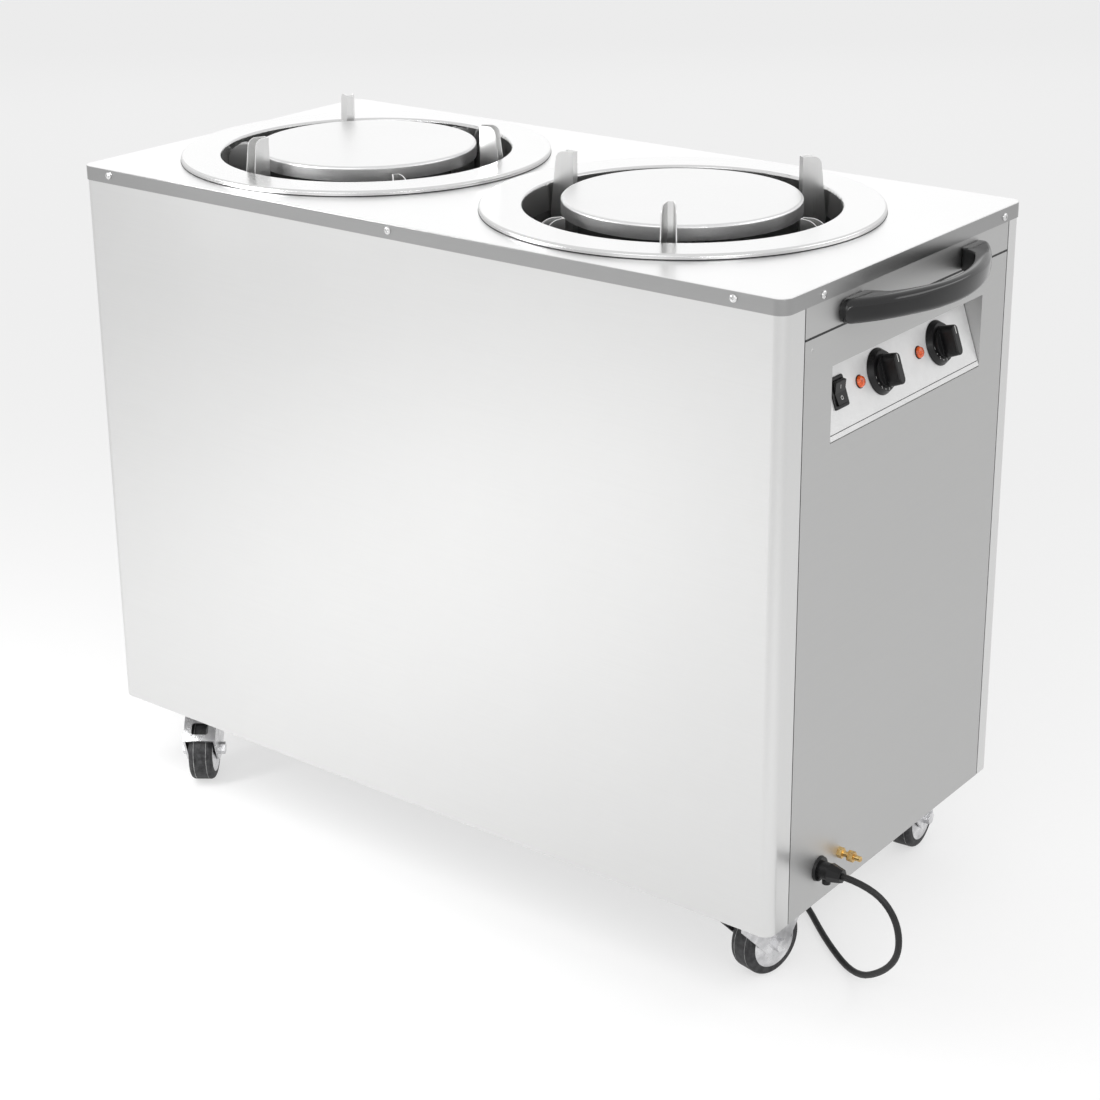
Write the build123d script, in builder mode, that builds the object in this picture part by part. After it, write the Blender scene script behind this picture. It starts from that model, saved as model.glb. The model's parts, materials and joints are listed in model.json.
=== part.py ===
"""Mobile plate dispenser: a heated twin-well trolley for stacks of plates.

The origin is on the floor, midway between the cabinet's left face and the outer
face of the push handle. +Z is up, +X points to the control end, -Y is the front.
"""

from build123d import *
import os
from math import asin, atan2, cos, degrees, hypot, pi, radians, sin, sqrt, tan

os.makedirs("parts", exist_ok=True)

# Cabinet
BODY_LENGTH = 928.0
BODY_DEPTH = 458.0
BODY_HEIGHT = 656.0
CASTER_HEIGHT = 104.0
SHEET = 1.2
BODY_CORNER_RADIUS = 12.0
CAP_SKIRT = 16.0
CAP_EDGE_RADIUS = 0.9
FRONT_RETURN = 35.0
REAR_RETURN = 26.0
PANEL_SEAM = 1.4
PANEL_FLANGE = 14.0
UPPER_STRIP = 47.5
PAN_SHEET = 1.5
PAN_WALL = 24.0
TOUCH_GAP = 0.3

# Control end
OPENING_WIDTH = 295.0
OPENING_TOP = 84.0
OPENING_HEIGHT = 77.0
OPENING_DEPTH = 26.0
RECESS_SHEET = 1.0
RECESS_FLANGE = 10.0
RECESS_JOINT = 0.1
FASCIA_SHEET = 0.8
FASCIA_MARGIN = 0.6
CONTROL_LINE = 42.0
SWITCH_PLACE = 33.0
LAMP_PLACES = (73.0, 188.0)
KNOB_PLACES = (112.0, 228.0)

# Push handle
HANDLE_LENGTH = 278.0
HANDLE_REACH = 55.0
HANDLE_BOW = 10.0
HANDLE_HAUNCH = 22.0
HANDLE_FOOT = 45.0
HANDLE_HEIGHT = 24.0
HANDLE_END_RISE = 8.0
HANDLE_EDGE_RADIUS = 4.5
HANDLE_DROP = 34.0

# Wells
WELL_SPACING = 436.0
WELL_SHIFT = -24.0
RING_RADIUS = 210.0
RING_BORE = 165.0
RING_RISE = 6.0
RING_SHEET = 1.2
RING_BEND = 3.0
COLLAR_DEPTH = 25.0
TUBE_SHEET = 1.0
TUBE_FLANGE = 13.0
SLOT_WIDTH = 24.0
DISH_RISE = 22.0
DISH_WALL = 14.0
DISH_SHEET = 1.2
FIRST_GUIDE = (20.0, -60.0)
FIN_OFFSET = 65.0
ARM_OFFSET = 92.5

# Plate guides and rail fins
GUIDE_INNER = 138.0
GUIDE_SHEET = 1.2
GUIDE_WEB = 8.0
GUIDE_SPREAD = 11.0
GUIDE_RISE = 40.0
GUIDE_TOP_SETBACK = 7.0
GUIDE_TOP_RADIUS = 9.0
FIN_DROP = 3.0
FIN_TOP_RADIUS = 18.0
GUIDE_FLOOR_GAP = 30.0

# Platform and carriage
PLATFORM_RADIUS = 125.0
PLATFORM_RISE = 12.5
PLATFORM_RIM = 16.0
PLATFORM_SHEET = 1.5
PLATFORM_BEND = 3.0
CARRIAGE_DROP = 190.0
CARRIAGE_SHEET = 3.0
CARRIAGE_HUB = 62.0
CARRIAGE_LOW_GAP = 44.0
SLOT_MARGIN = 12.0
STEM_RADIUS = 24.0
STEM_WALL = 2.0
STEM_FLANGE = 52.0
ARM_WIDTH = 22.0
ARM_REACH = 192.0
SPRING_CIRCLE = 184.0
SPRING_RADIUS = 6.0
SPRING_BORE = 4.0
SPRING_HOOK = 1.0
SPRING_HOLE = 1.6
SPRING_NECK = 9.0
HANGER_DROP = 26.0
HANGER_WIDTH = 18.0
HANGER_SHEET = 2.0

# Heater
HEATER_CIRCLE = 105.0
HEATER_ROD = 4.0
HEATER_RISE = 20.0
HEATER_LEAD_SPACING = 24.0
HEATER_LEAD_X = sqrt(HEATER_CIRCLE**2 - (HEATER_LEAD_SPACING / 2) ** 2)

# Casters
CASTER_INSET_X = 70.0
CASTER_INSET_Y = 68.0
CASTER_HEADINGS = (-54.0, 78.0, 96.0, 152.0)
WHEEL_RADIUS = 37.5
WHEEL_TRAIL = 28.0
TYRE_WIDTH = 28.0
TYRE_BORE = 25.0
TYRE_SHOULDER = 5.0
HUB_WIDTH = 33.4
HUB_RADIUS = 12.0
HUB_WEB = 5.0
HUB_RIM = 3.0
AXLE_RADIUS = 4.0
AXLE_CLEARANCE = 0.05
FORK_INNER = 34.0
FORK_SHEET = 2.5
FORK_TOP = 84.0
FORK_NOSE = 24.0
FORK_SKIRT = 14.0
AXLE_BOSS = 11.0
CROWN_LENGTH = 10.0
HOOD_GAP = 6.0
HOOD_ANGLE = 38.0
FORK_WINDOW = (20.0, 15.0)
RACE_RADIUS = 23.0
CASTER_PLATE = (92.0, 68.0)
CASTER_PLATE_SHEET = 3.0
KINGPIN_RADIUS = 5.0
HEX_FLATS = 13.0
HEX_HEIGHT = 6.0

# Controls
SWITCH_WIDTH = 25.0
SWITCH_HEIGHT = 31.0
SWITCH_FRAME = 2.0
SWITCH_BORDER = 3.0
ROCKER_GAP = 0.35
ROCKER_TILT = 8.0
ROCKER_RISE = 5.5
ROCKER_VALLEY = 2.6
ROCKER_ROOT = 6.0
SWITCH_BODY_DEPTH = 20.0
LAMP_RADIUS = 5.2
LAMP_LENS_RADIUS = 4.4
LAMP_DOME = 3.0
LAMP_BODY_DEPTH = 16.0
SKIRT_RADIUS = 23.5
SKIRT_TOP_RADIUS = 20.0
SKIRT_HEIGHT = 5.5
KNOB_BOSS_RADIUS = 16.5
KNOB_BOSS_HEIGHT = 9.0
KNOB_GRIP = (34.0, 13.0, 23.0)
KNOB_DRAFT = 4.0
KNOB_EDGE = 1.5
KNOB_GAP = 0.5
SPINDLE_RADIUS = 3.0
SPINDLE_CLEARANCE = 0.05
BUSH_RADIUS = 5.0
THERMOSTAT_SIZE = (34.0, 44.0, 30.0)

# Supply side
GLAND_FORWARD = 92.0
GLAND_RISE = 38.0
TERMINAL_FORWARD = 131.5
TERMINAL_RISE = 38.5
GLAND_FLANGE_RADIUS = 13.5
GLAND_BODY_RADIUS = 9.0
GLAND_LENGTH = 28.0
GLAND_INSIDE = 14.0
GLAND_FLANGE = 3.0
GLAND_NUT_START = 14.0
GLAND_NUT_RADIUS = 10.5
GLAND_BOSS_RADIUS = 4.5
GLAND_BOSS_REACH = 14.0
TERMINAL_RADIUS = 3.0
TERMINAL_LENGTH = 26.0
TERMINAL_INSIDE = 9.6
TERMINAL_NUT_RADIUS = 5.8
TERMINAL_NUT_HEIGHT = 5.0
TERMINAL_NUT_PLACE = 13.0
TERMINAL_WASHER = 1.5
CORD_DIAMETER = 7.0
COIL_GAP = 0.6
COIL_X = -40.0
COIL_Y = 300.0
COIL_RADIUS = 48.8
COIL_TURNS_IN = 2
COIL_CLIMB = 0.5
COIL_TURNS_OUT = 1.75
BEND_SHARE = 0.45
PLUG_RADIUS = 18.5
PLUG_LENGTH = 52.0
PLUG_NECK_RADIUS = 6.0
PLUG_NECK = 14.0
PLUG_SHOULDER = 24.0
PLUG_RIM = 3.0
PIN_RADIUS = 2.4
PIN_LENGTH = 19.0
PIN_SPACING = 19.0

# Places worked out from the sizes above
CABINET_X = -(HANDLE_REACH - SHEET) / 2
BODY_BOTTOM = CASTER_HEIGHT
CAP_TOP = CASTER_HEIGHT + BODY_HEIGHT
CAP_UNDER = CAP_TOP - SHEET
FRONT_Y = -BODY_DEPTH / 2
REAR_Y = BODY_DEPTH / 2
RIGHT_X = CABINET_X + BODY_LENGTH / 2
LEFT_X = CABINET_X - BODY_LENGTH / 2
PANEL_MID_Y = (FRONT_RETURN - REAR_RETURN) / 2
PANEL_WIDTH = BODY_DEPTH - FRONT_RETURN - REAR_RETURN - 2 * PANEL_SEAM
SEAM_Z = CAP_TOP - UPPER_STRIP
WELL_X = (
    CABINET_X + WELL_SHIFT - WELL_SPACING / 2,
    CABINET_X + WELL_SHIFT + WELL_SPACING / 2,
)
RING_TOP = CAP_TOP + RING_RISE
COLLAR_OUTER = RING_BORE + RING_SHEET
TUBE_INNER = COLLAR_OUTER + TOUCH_GAP
TUBE_OUTER = TUBE_INNER + TUBE_SHEET
PAN_TOP = BODY_BOTTOM + PAN_SHEET
DISH_Z = BODY_BOTTOM + DISH_RISE
PLATFORM_TOP = CAP_TOP + PLATFORM_RISE
PLATFORM_UNDER = PLATFORM_TOP - PLATFORM_SHEET
CARRIAGE_Z = CAP_TOP - CARRIAGE_DROP
CARRIAGE_TOP = CARRIAGE_Z + CARRIAGE_SHEET
TRAVEL = CARRIAGE_Z - DISH_Z - CARRIAGE_LOW_GAP
SLOT_BOTTOM = CARRIAGE_Z - TRAVEL - SLOT_MARGIN
SLOT_TOP = CARRIAGE_TOP + SLOT_MARGIN
HANGER_Z = CAP_TOP - HANGER_DROP


def save(part, name):
    """Label a finished piece and write its STEP file."""
    part.label = name
    export_step(part, f"parts/{name}.step")


def polar(radius, angle):
    """X and Y of a point at an angle in degrees."""
    return radius * cos(radians(angle)), radius * sin(radians(angle))


# Top cap: a folded tray with a skirt and two round openings
with BuildPart() as top_cap:
    with BuildSketch(Plane.XY.offset(CAP_TOP - CAP_SKIRT)):
        with Locations((CABINET_X, 0)):
            RectangleRounded(
                BODY_LENGTH + 2 * SHEET,
                BODY_DEPTH + 2 * SHEET,
                BODY_CORNER_RADIUS + SHEET,
            )
    extrude(amount=CAP_SKIRT)
    fillet(top_cap.faces().sort_by(Axis.Z)[-1].edges(), radius=CAP_EDGE_RADIUS)
    with BuildSketch(Plane.XY.offset(CAP_TOP - CAP_SKIRT)):
        with Locations((CABINET_X, 0)):
            RectangleRounded(BODY_LENGTH, BODY_DEPTH, BODY_CORNER_RADIUS)
    extrude(amount=CAP_SKIRT - SHEET, mode=Mode.SUBTRACT)
    with BuildSketch(Plane.XY.offset(CAP_UNDER)):
        with Locations(*[(x, 0) for x in WELL_X]):
            Circle(COLLAR_OUTER + TOUCH_GAP)
    extrude(amount=SHEET, mode=Mode.SUBTRACT)
save(top_cap.part, "top_cap")


def wrap_panel(name, y_edge, inward, return_length):
    """Front or rear sheet, bent round both corners to a short return at each end."""
    side = Align.MIN if inward > 0 else Align.MAX
    with BuildPart() as panel:
        with BuildSketch(Plane.XY.offset(BODY_BOTTOM)):
            with Locations((CABINET_X, 0)):
                RectangleRounded(BODY_LENGTH, BODY_DEPTH, BODY_CORNER_RADIUS)
                RectangleRounded(
                    BODY_LENGTH - 2 * SHEET,
                    BODY_DEPTH - 2 * SHEET,
                    BODY_CORNER_RADIUS - SHEET,
                    mode=Mode.SUBTRACT,
                )
            with Locations((CABINET_X, y_edge)):
                Rectangle(
                    BODY_LENGTH,
                    return_length,
                    align=(Align.CENTER, side),
                    mode=Mode.INTERSECT,
                )
        extrude(amount=CAP_UNDER - BODY_BOTTOM)
    save(panel.part, name)


wrap_panel("front_panel", FRONT_Y, 1, FRONT_RETURN)
wrap_panel("rear_panel", REAR_Y, -1, REAR_RETURN)


# Base pan: floor of the cabinet with an upstand inside the panels
with BuildPart() as base_pan:
    with BuildSketch(Plane.XY.offset(BODY_BOTTOM)):
        with Locations((CABINET_X, 0)):
            RectangleRounded(
                BODY_LENGTH - 2 * SHEET,
                BODY_DEPTH - 2 * SHEET,
                BODY_CORNER_RADIUS - SHEET,
            )
    extrude(amount=PAN_WALL)
    with BuildSketch(Plane.XY.offset(PAN_TOP)):
        with Locations((CABINET_X, 0)):
            RectangleRounded(
                BODY_LENGTH - 2 * SHEET - 2 * PAN_SHEET,
                BODY_DEPTH - 2 * SHEET - 2 * PAN_SHEET,
                BODY_CORNER_RADIUS - SHEET - PAN_SHEET,
            )
    extrude(amount=PAN_WALL, mode=Mode.SUBTRACT)
save(base_pan.part, "base_pan")


def end_sheet(name, outer_x, outward, bottom, top):
    """Flat end sheet between the returns, with flanges bent inward at its two sides."""
    inner = Align.MAX if outward > 0 else Align.MIN
    flange_bottom = max(bottom, BODY_BOTTOM + PAN_WALL + PANEL_SEAM)
    with BuildPart() as sheet:
        with BuildSketch(Plane.XY.offset(bottom)):
            with Locations((outer_x, PANEL_MID_Y)):
                Rectangle(SHEET, PANEL_WIDTH, align=(inner, Align.CENTER))
        extrude(amount=top - bottom)
        with BuildSketch(Plane.XY.offset(flange_bottom)):
            with Locations((outer_x, PANEL_MID_Y)):
                Rectangle(PANEL_FLANGE, PANEL_WIDTH, align=(inner, Align.CENTER))
                Rectangle(
                    PANEL_FLANGE,
                    PANEL_WIDTH - 2 * SHEET,
                    align=(inner, Align.CENTER),
                    mode=Mode.SUBTRACT,
                )
        extrude(amount=top - flange_bottom)
        if name == "right_side_panel":
            opening = Plane(
                origin=(outer_x, PANEL_MID_Y, CAP_TOP - OPENING_TOP),
                x_dir=(0, 1, 0),
                z_dir=(1, 0, 0),
            )
            with BuildSketch(opening):
                Rectangle(
                    OPENING_WIDTH,
                    OPENING_HEIGHT,
                    align=(Align.CENTER, Align.MAX),
                )
            extrude(amount=-SHEET, mode=Mode.SUBTRACT)
            wall = Plane(origin=(outer_x, 0, 0), x_dir=(0, 1, 0), z_dir=(1, 0, 0))
            with BuildSketch(wall):
                with Locations((FRONT_Y + GLAND_FORWARD, BODY_BOTTOM + GLAND_RISE)):
                    Circle(GLAND_BODY_RADIUS + TOUCH_GAP)
                with Locations(
                    (FRONT_Y + TERMINAL_FORWARD, BODY_BOTTOM + TERMINAL_RISE)
                ):
                    Circle(TERMINAL_RADIUS + TOUCH_GAP)
            extrude(amount=-SHEET, mode=Mode.SUBTRACT)
    save(sheet.part, name)


end_sheet("right_side_panel", RIGHT_X, 1, BODY_BOTTOM, SEAM_Z - PANEL_SEAM / 2)
end_sheet("right_upper_strip", RIGHT_X, 1, SEAM_Z + PANEL_SEAM / 2, CAP_UNDER)
end_sheet("left_side_panel", LEFT_X, -1, BODY_BOTTOM, CAP_UNDER)


# Control recess: a wedge-shaped pocket behind the opening, its back leaning inwards
OPENING_HIGH = CAP_TOP - OPENING_TOP
OPENING_LOW = OPENING_HIGH - OPENING_HEIGHT
LEAN = degrees(atan2(OPENING_DEPTH, OPENING_HEIGHT))
FLANGE_LOW = OPENING_LOW - RECESS_FLANGE
FLANGE_HIGH = OPENING_HIGH + RECESS_FLANGE
FLANGE_BACK = -SHEET - RECESS_SHEET
recess_side = Plane(origin=(RIGHT_X, PANEL_MID_Y, 0), x_dir=(1, 0, 0), z_dir=(0, -1, 0))
lean_cos, lean_sin = cos(radians(LEAN)), sin(radians(LEAN))


def slope_x(z, depth=0.0):
    """X of the leaning back at a height, or of a face that lies this deep behind it."""
    return -(z - OPENING_LOW) * lean_sin / lean_cos - depth / lean_cos


def slope_z(x, depth=0.0):
    """Height of the leaning back at an X, or of a face that lies this deep behind it."""
    return OPENING_LOW - (x + depth / lean_cos) * lean_cos / lean_sin


def recess_sheet(points, start, width):
    """A sheet with this outline seen from the side, from a start towards the front."""
    with BuildPart() as sheet:
        with BuildSketch(recess_side.offset(start)):
            with BuildLine():
                Polyline(*points, close=True)
            make_face()
        extrude(amount=width)
    return sheet.part


def recess_cheek(outward):
    """Triangular cheek with a flange, at the front (1) or the rear (-1) end."""
    inner = OPENING_WIDTH / 2 + RECESS_JOINT
    triangle = [
        (-SHEET, slope_z(-SHEET, RECESS_SHEET)),
        (-SHEET, OPENING_HIGH + RECESS_SHEET),
        (slope_x(OPENING_HIGH + RECESS_SHEET, RECESS_SHEET), OPENING_HIGH + RECESS_SHEET),
    ]
    flange = [
        (-SHEET, FLANGE_LOW),
        (-SHEET, FLANGE_HIGH),
        (FLANGE_BACK, FLANGE_HIGH),
        (FLANGE_BACK, FLANGE_LOW),
    ]
    return recess_sheet(triangle, outward * inner, outward * RECESS_SHEET) + recess_sheet(
        flange, outward * inner, outward * RECESS_FLANGE
    )


# Four folded sheets, spot-welded at their edges: the back, the top and the two cheeks
back_top = OPENING_HIGH - RECESS_JOINT
recess_back = recess_sheet(
    [
        (-SHEET, FLANGE_LOW),
        (-SHEET, slope_z(-SHEET)),
        (slope_x(back_top), back_top),
        (slope_x(back_top, RECESS_SHEET), back_top),
        (FLANGE_BACK, slope_z(FLANGE_BACK, RECESS_SHEET)),
        (FLANGE_BACK, FLANGE_LOW),
    ],
    -OPENING_WIDTH / 2,
    OPENING_WIDTH,
)
recess_top = recess_sheet(
    [
        (-SHEET, OPENING_HIGH),
        (-SHEET, FLANGE_HIGH),
        (FLANGE_BACK, FLANGE_HIGH),
        (FLANGE_BACK, OPENING_HIGH + RECESS_SHEET),
        (slope_x(OPENING_HIGH, RECESS_SHEET), OPENING_HIGH + RECESS_SHEET),
        (slope_x(OPENING_HIGH, RECESS_SHEET), OPENING_HIGH),
    ],
    -OPENING_WIDTH / 2,
    OPENING_WIDTH,
)
fascia_plane = Plane(
    origin=(RIGHT_X, PANEL_MID_Y - OPENING_WIDTH / 2, OPENING_LOW),
    x_dir=(0, 1, 0),
    z_dir=(lean_cos, 0, lean_sin),
)
with BuildPart() as control_recess:
    add([recess_back, recess_top, recess_cheek(1), recess_cheek(-1)])
    with BuildSketch(fascia_plane):
        with Locations((SWITCH_PLACE, CONTROL_LINE)):
            Rectangle(
                SWITCH_WIDTH - SWITCH_BORDER + 2 * TOUCH_GAP,
                SWITCH_HEIGHT - SWITCH_BORDER + 2 * TOUCH_GAP,
            )
        with Locations(*[(place, CONTROL_LINE) for place in LAMP_PLACES]):
            Circle(LAMP_LENS_RADIUS + TOUCH_GAP)
        with Locations(*[(place, CONTROL_LINE) for place in KNOB_PLACES]):
            Circle(BUSH_RADIUS + TOUCH_GAP)
    extrude(amount=-3 * SHEET, mode=Mode.SUBTRACT)
save(control_recess.part, "control_recess")

# Fascia: printed metal plate on the leaning back of the recess
FASCIA_SLOPE = hypot(OPENING_DEPTH, OPENING_HEIGHT)
with BuildPart() as control_fascia:
    with BuildSketch(fascia_plane):
        with Locations((OPENING_WIDTH / 2, FASCIA_SLOPE / 2)):
            Rectangle(OPENING_WIDTH - 2 * FASCIA_MARGIN, FASCIA_SLOPE - 4 * FASCIA_MARGIN)
        with Locations((SWITCH_PLACE, CONTROL_LINE)):
            Rectangle(
                SWITCH_WIDTH - SWITCH_BORDER + 2 * TOUCH_GAP,
                SWITCH_HEIGHT - SWITCH_BORDER + 2 * TOUCH_GAP,
                mode=Mode.SUBTRACT,
            )
        with Locations(*[(place, CONTROL_LINE) for place in LAMP_PLACES]):
            Circle(LAMP_LENS_RADIUS + TOUCH_GAP, mode=Mode.SUBTRACT)
        with Locations(*[(place, CONTROL_LINE) for place in KNOB_PLACES]):
            Circle(BUSH_RADIUS + TOUCH_GAP, mode=Mode.SUBTRACT)
    extrude(amount=FASCIA_SHEET)
save(control_fascia.part, "control_fascia")


# Push handle: a moulded bow, seen from above as two arcs that meet in broad feet
handle_plane = Plane(
    origin=(RIGHT_X, PANEL_MID_Y, CAP_TOP - HANDLE_DROP),
    x_dir=(0, 1, 0),
    z_dir=(0, 0, -1),
)
foot_inner = HANDLE_LENGTH / 2 - HANDLE_FOOT
arch_inner = foot_inner - HANDLE_BOW
with BuildPart() as push_handle:
    with BuildSketch(handle_plane):
        with BuildLine():
            l1 = Line((-HANDLE_LENGTH / 2, 0), (-HANDLE_LENGTH / 2, HANDLE_END_RISE))
            ThreePointArc(
                l1 @ 1,
                (0, HANDLE_REACH),
                (HANDLE_LENGTH / 2, HANDLE_END_RISE),
            )
            Polyline(
                (HANDLE_LENGTH / 2, HANDLE_END_RISE),
                (HANDLE_LENGTH / 2, 0),
                (foot_inner, 0),
                (arch_inner, HANDLE_HAUNCH),
            )
            ThreePointArc(
                (arch_inner, HANDLE_HAUNCH),
                (0, HANDLE_REACH - HANDLE_BOW),
                (-arch_inner, HANDLE_HAUNCH),
            )
            Polyline(
                (-arch_inner, HANDLE_HAUNCH),
                (-foot_inner, 0),
                l1 @ 0,
            )
        make_face()
    extrude(amount=HANDLE_HEIGHT / 2, both=True)
    rim = push_handle.faces().filter_by(Axis.Z).edges()
    rim = rim - push_handle.faces().sort_by(Axis.X)[:2].edges()
    fillet(rim, radius=HANDLE_EDGE_RADIUS)
save(push_handle.part, "push_handle")


def control_plane(place, height=0.0):
    """Plane on the fascia at one control, with X to the rear and Y up the slope."""
    return Plane(
        origin=fascia_plane.from_local_coords((place, CONTROL_LINE, height)),
        x_dir=fascia_plane.x_dir,
        z_dir=fascia_plane.z_dir,
    )


# Power switch: a square-edged frame with a hollow body behind the fascia
switch_plane = control_plane(SWITCH_PLACE, FASCIA_SHEET)
outward = Axis(switch_plane.origin, switch_plane.z_dir)
pocket_width = SWITCH_WIDTH - 2 * SWITCH_BORDER
pocket_height = SWITCH_HEIGHT - 2 * SWITCH_BORDER
with BuildPart() as switch_frame:
    with BuildSketch(switch_plane):
        RectangleRounded(SWITCH_WIDTH, SWITCH_HEIGHT, SWITCH_FRAME)
    extrude(amount=SWITCH_FRAME)
    chamfer(switch_frame.faces().sort_by(outward)[-1].edges(), length=SWITCH_FRAME / 3)
    with BuildSketch(switch_plane):
        Rectangle(SWITCH_WIDTH - SWITCH_BORDER, SWITCH_HEIGHT - SWITCH_BORDER)
    extrude(amount=-SWITCH_BODY_DEPTH)
    with BuildSketch(switch_plane.offset(SWITCH_FRAME)):
        Rectangle(pocket_width, pocket_height)
    extrude(amount=-SWITCH_BODY_DEPTH, mode=Mode.SUBTRACT)
save(switch_frame.part, "switch_frame")

# Rocker: two faces meeting in a shallow valley over a round root, resting at off
rocker_side = Plane(
    origin=switch_plane.origin,
    x_dir=switch_plane.y_dir.rotate(
        Axis((0, 0, 0), switch_plane.x_dir),
        ROCKER_TILT,
    ),
    z_dir=switch_plane.x_dir,
)
rocker_half = pocket_height / 2 - ROCKER_GAP
rocker_angle = degrees(asin(ROCKER_RISE / rocker_half))
rocker_tip_x, rocker_tip_y = polar(rocker_half, rocker_angle)
with BuildPart() as switch_rocker:
    with BuildSketch(rocker_side):
        with BuildLine():
            Polyline(
                (-rocker_tip_x, rocker_tip_y),
                (0, ROCKER_VALLEY),
                (rocker_tip_x, rocker_tip_y),
            )
            ThreePointArc(
                (rocker_tip_x, rocker_tip_y),
                (rocker_half, 0),
                (rocker_tip_x, -rocker_tip_y),
            )
            ThreePointArc(
                (rocker_tip_x, -rocker_tip_y),
                (0, -rocker_tip_y - ROCKER_ROOT),
                (-rocker_tip_x, -rocker_tip_y),
            )
            ThreePointArc(
                (-rocker_tip_x, -rocker_tip_y),
                (-rocker_half, 0),
                (-rocker_tip_x, rocker_tip_y),
            )
        make_face()
    extrude(amount=pocket_width / 2 - ROCKER_GAP, both=True)
save(switch_rocker.part, "switch_rocker")


# Pilot lamps: body, flange and domed lens, turned about the lamp's own axis
LAMP_FLANGE = LAMP_RADIUS - LAMP_LENS_RADIUS
LAMP_DOME_RADIUS = (LAMP_LENS_RADIUS**2 + LAMP_DOME**2) / (2 * LAMP_DOME)
for lamp_number, lamp_place in enumerate(LAMP_PLACES, start=1):
    lamp_base = control_plane(lamp_place, FASCIA_SHEET)
    lamp_side = Plane(
        origin=lamp_base.origin,
        x_dir=lamp_base.x_dir,
        z_dir=-lamp_base.y_dir,
    )
    with BuildPart() as pilot_lamp:
        with BuildSketch(lamp_side):
            with BuildLine():
                Polyline(
                    (0, LAMP_DOME + LAMP_FLANGE),
                    (0, -LAMP_BODY_DEPTH),
                    (LAMP_LENS_RADIUS, -LAMP_BODY_DEPTH),
                    (LAMP_LENS_RADIUS, 0),
                    (LAMP_RADIUS, 0),
                    (LAMP_RADIUS, LAMP_FLANGE),
                    (LAMP_LENS_RADIUS, LAMP_FLANGE),
                )
                RadiusArc(
                    (LAMP_LENS_RADIUS, LAMP_FLANGE),
                    (0, LAMP_DOME + LAMP_FLANGE),
                    -LAMP_DOME_RADIUS,
                )
            make_face()
        revolve(axis=Axis(lamp_base.origin, lamp_base.z_dir))
    save(pilot_lamp.part, f"pilot_lamp_{lamp_number}")

# Thermostats and their numbered knobs
for knob_number, knob_place in enumerate(KNOB_PLACES, start=1):
    behind = control_plane(knob_place, -RECESS_SHEET)
    front = control_plane(knob_place, FASCIA_SHEET)
    knob_axis = Axis(front.origin, front.z_dir)
    with BuildPart() as thermostat:
        with BuildSketch(behind):
            RectangleRounded(THERMOSTAT_SIZE[0], THERMOSTAT_SIZE[1], SPINDLE_RADIUS)
        extrude(amount=-THERMOSTAT_SIZE[2])
        with BuildSketch(behind):
            Circle(BUSH_RADIUS)
        extrude(amount=RECESS_SHEET + FASCIA_SHEET)
        with BuildSketch(front):
            Circle(SPINDLE_RADIUS + SPINDLE_CLEARANCE)
        extrude(amount=-THERMOSTAT_SIZE[2] / 2, mode=Mode.SUBTRACT)
    save(thermostat.part, f"thermostat_{knob_number}")

    with BuildPart() as knob:
        with BuildSketch(front.offset(KNOB_GAP)):
            Circle(SKIRT_RADIUS)
        with BuildSketch(front.offset(KNOB_GAP + SKIRT_HEIGHT)):
            Circle(SKIRT_TOP_RADIUS)
        loft(ruled=True)
        with BuildSketch(front.offset(KNOB_GAP + SKIRT_HEIGHT)):
            Circle(KNOB_BOSS_RADIUS)
        extrude(amount=KNOB_BOSS_HEIGHT - SKIRT_HEIGHT)
        with BuildSketch(front.offset(KNOB_GAP + SKIRT_HEIGHT)):
            SlotOverall(KNOB_GRIP[0], KNOB_GRIP[1], rotation=90)
        extrude(amount=KNOB_GRIP[2] - SKIRT_HEIGHT, taper=KNOB_DRAFT)
        fillet(knob.faces().sort_by(knob_axis)[-1].edges(), radius=KNOB_EDGE)
        with BuildSketch(front):
            Circle(SPINDLE_RADIUS - SPINDLE_CLEARANCE)
        extrude(amount=KNOB_GAP)
        with BuildSketch(front):
            Circle(SPINDLE_RADIUS)
        extrude(amount=-THERMOSTAT_SIZE[2] / 3)
    save(knob.part, f"temperature_knob_{knob_number}")


# Supply gland: a flange on the panel, a body, a clamp screw boss and a domed nut
GLAND_Y = FRONT_Y + GLAND_FORWARD
GLAND_Z = BODY_BOTTOM + GLAND_RISE
gland_plane = Plane(origin=(RIGHT_X, GLAND_Y, GLAND_Z), x_dir=(0, 1, 0), z_dir=(1, 0, 0))
with BuildPart() as cable_gland:
    with BuildSketch(gland_plane.offset(-GLAND_INSIDE)):
        Circle(GLAND_BODY_RADIUS)
    extrude(amount=GLAND_INSIDE + GLAND_NUT_START)
    with BuildSketch(gland_plane):
        Circle(GLAND_FLANGE_RADIUS)
    extrude(amount=GLAND_FLANGE, taper=15)
    with BuildSketch(gland_plane.offset(GLAND_NUT_START)):
        RegularPolygon(GLAND_NUT_RADIUS, 8)
    extrude(amount=GLAND_LENGTH - GLAND_NUT_START, taper=12)
    with BuildSketch(
        Plane(
            origin=(RIGHT_X + GLAND_LENGTH / 3, GLAND_Y, GLAND_Z),
            x_dir=(1, 0, 0),
            z_dir=(0, 0, -1),
        )
    ):
        Circle(GLAND_BOSS_RADIUS)
    extrude(amount=GLAND_BOSS_REACH)
    with BuildSketch(gland_plane.offset(-GLAND_INSIDE)):
        Circle(CORD_DIAMETER / 2)
    extrude(amount=GLAND_INSIDE + GLAND_LENGTH - CORD_DIAMETER, mode=Mode.SUBTRACT)
save(cable_gland.part, "cable_gland")

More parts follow.
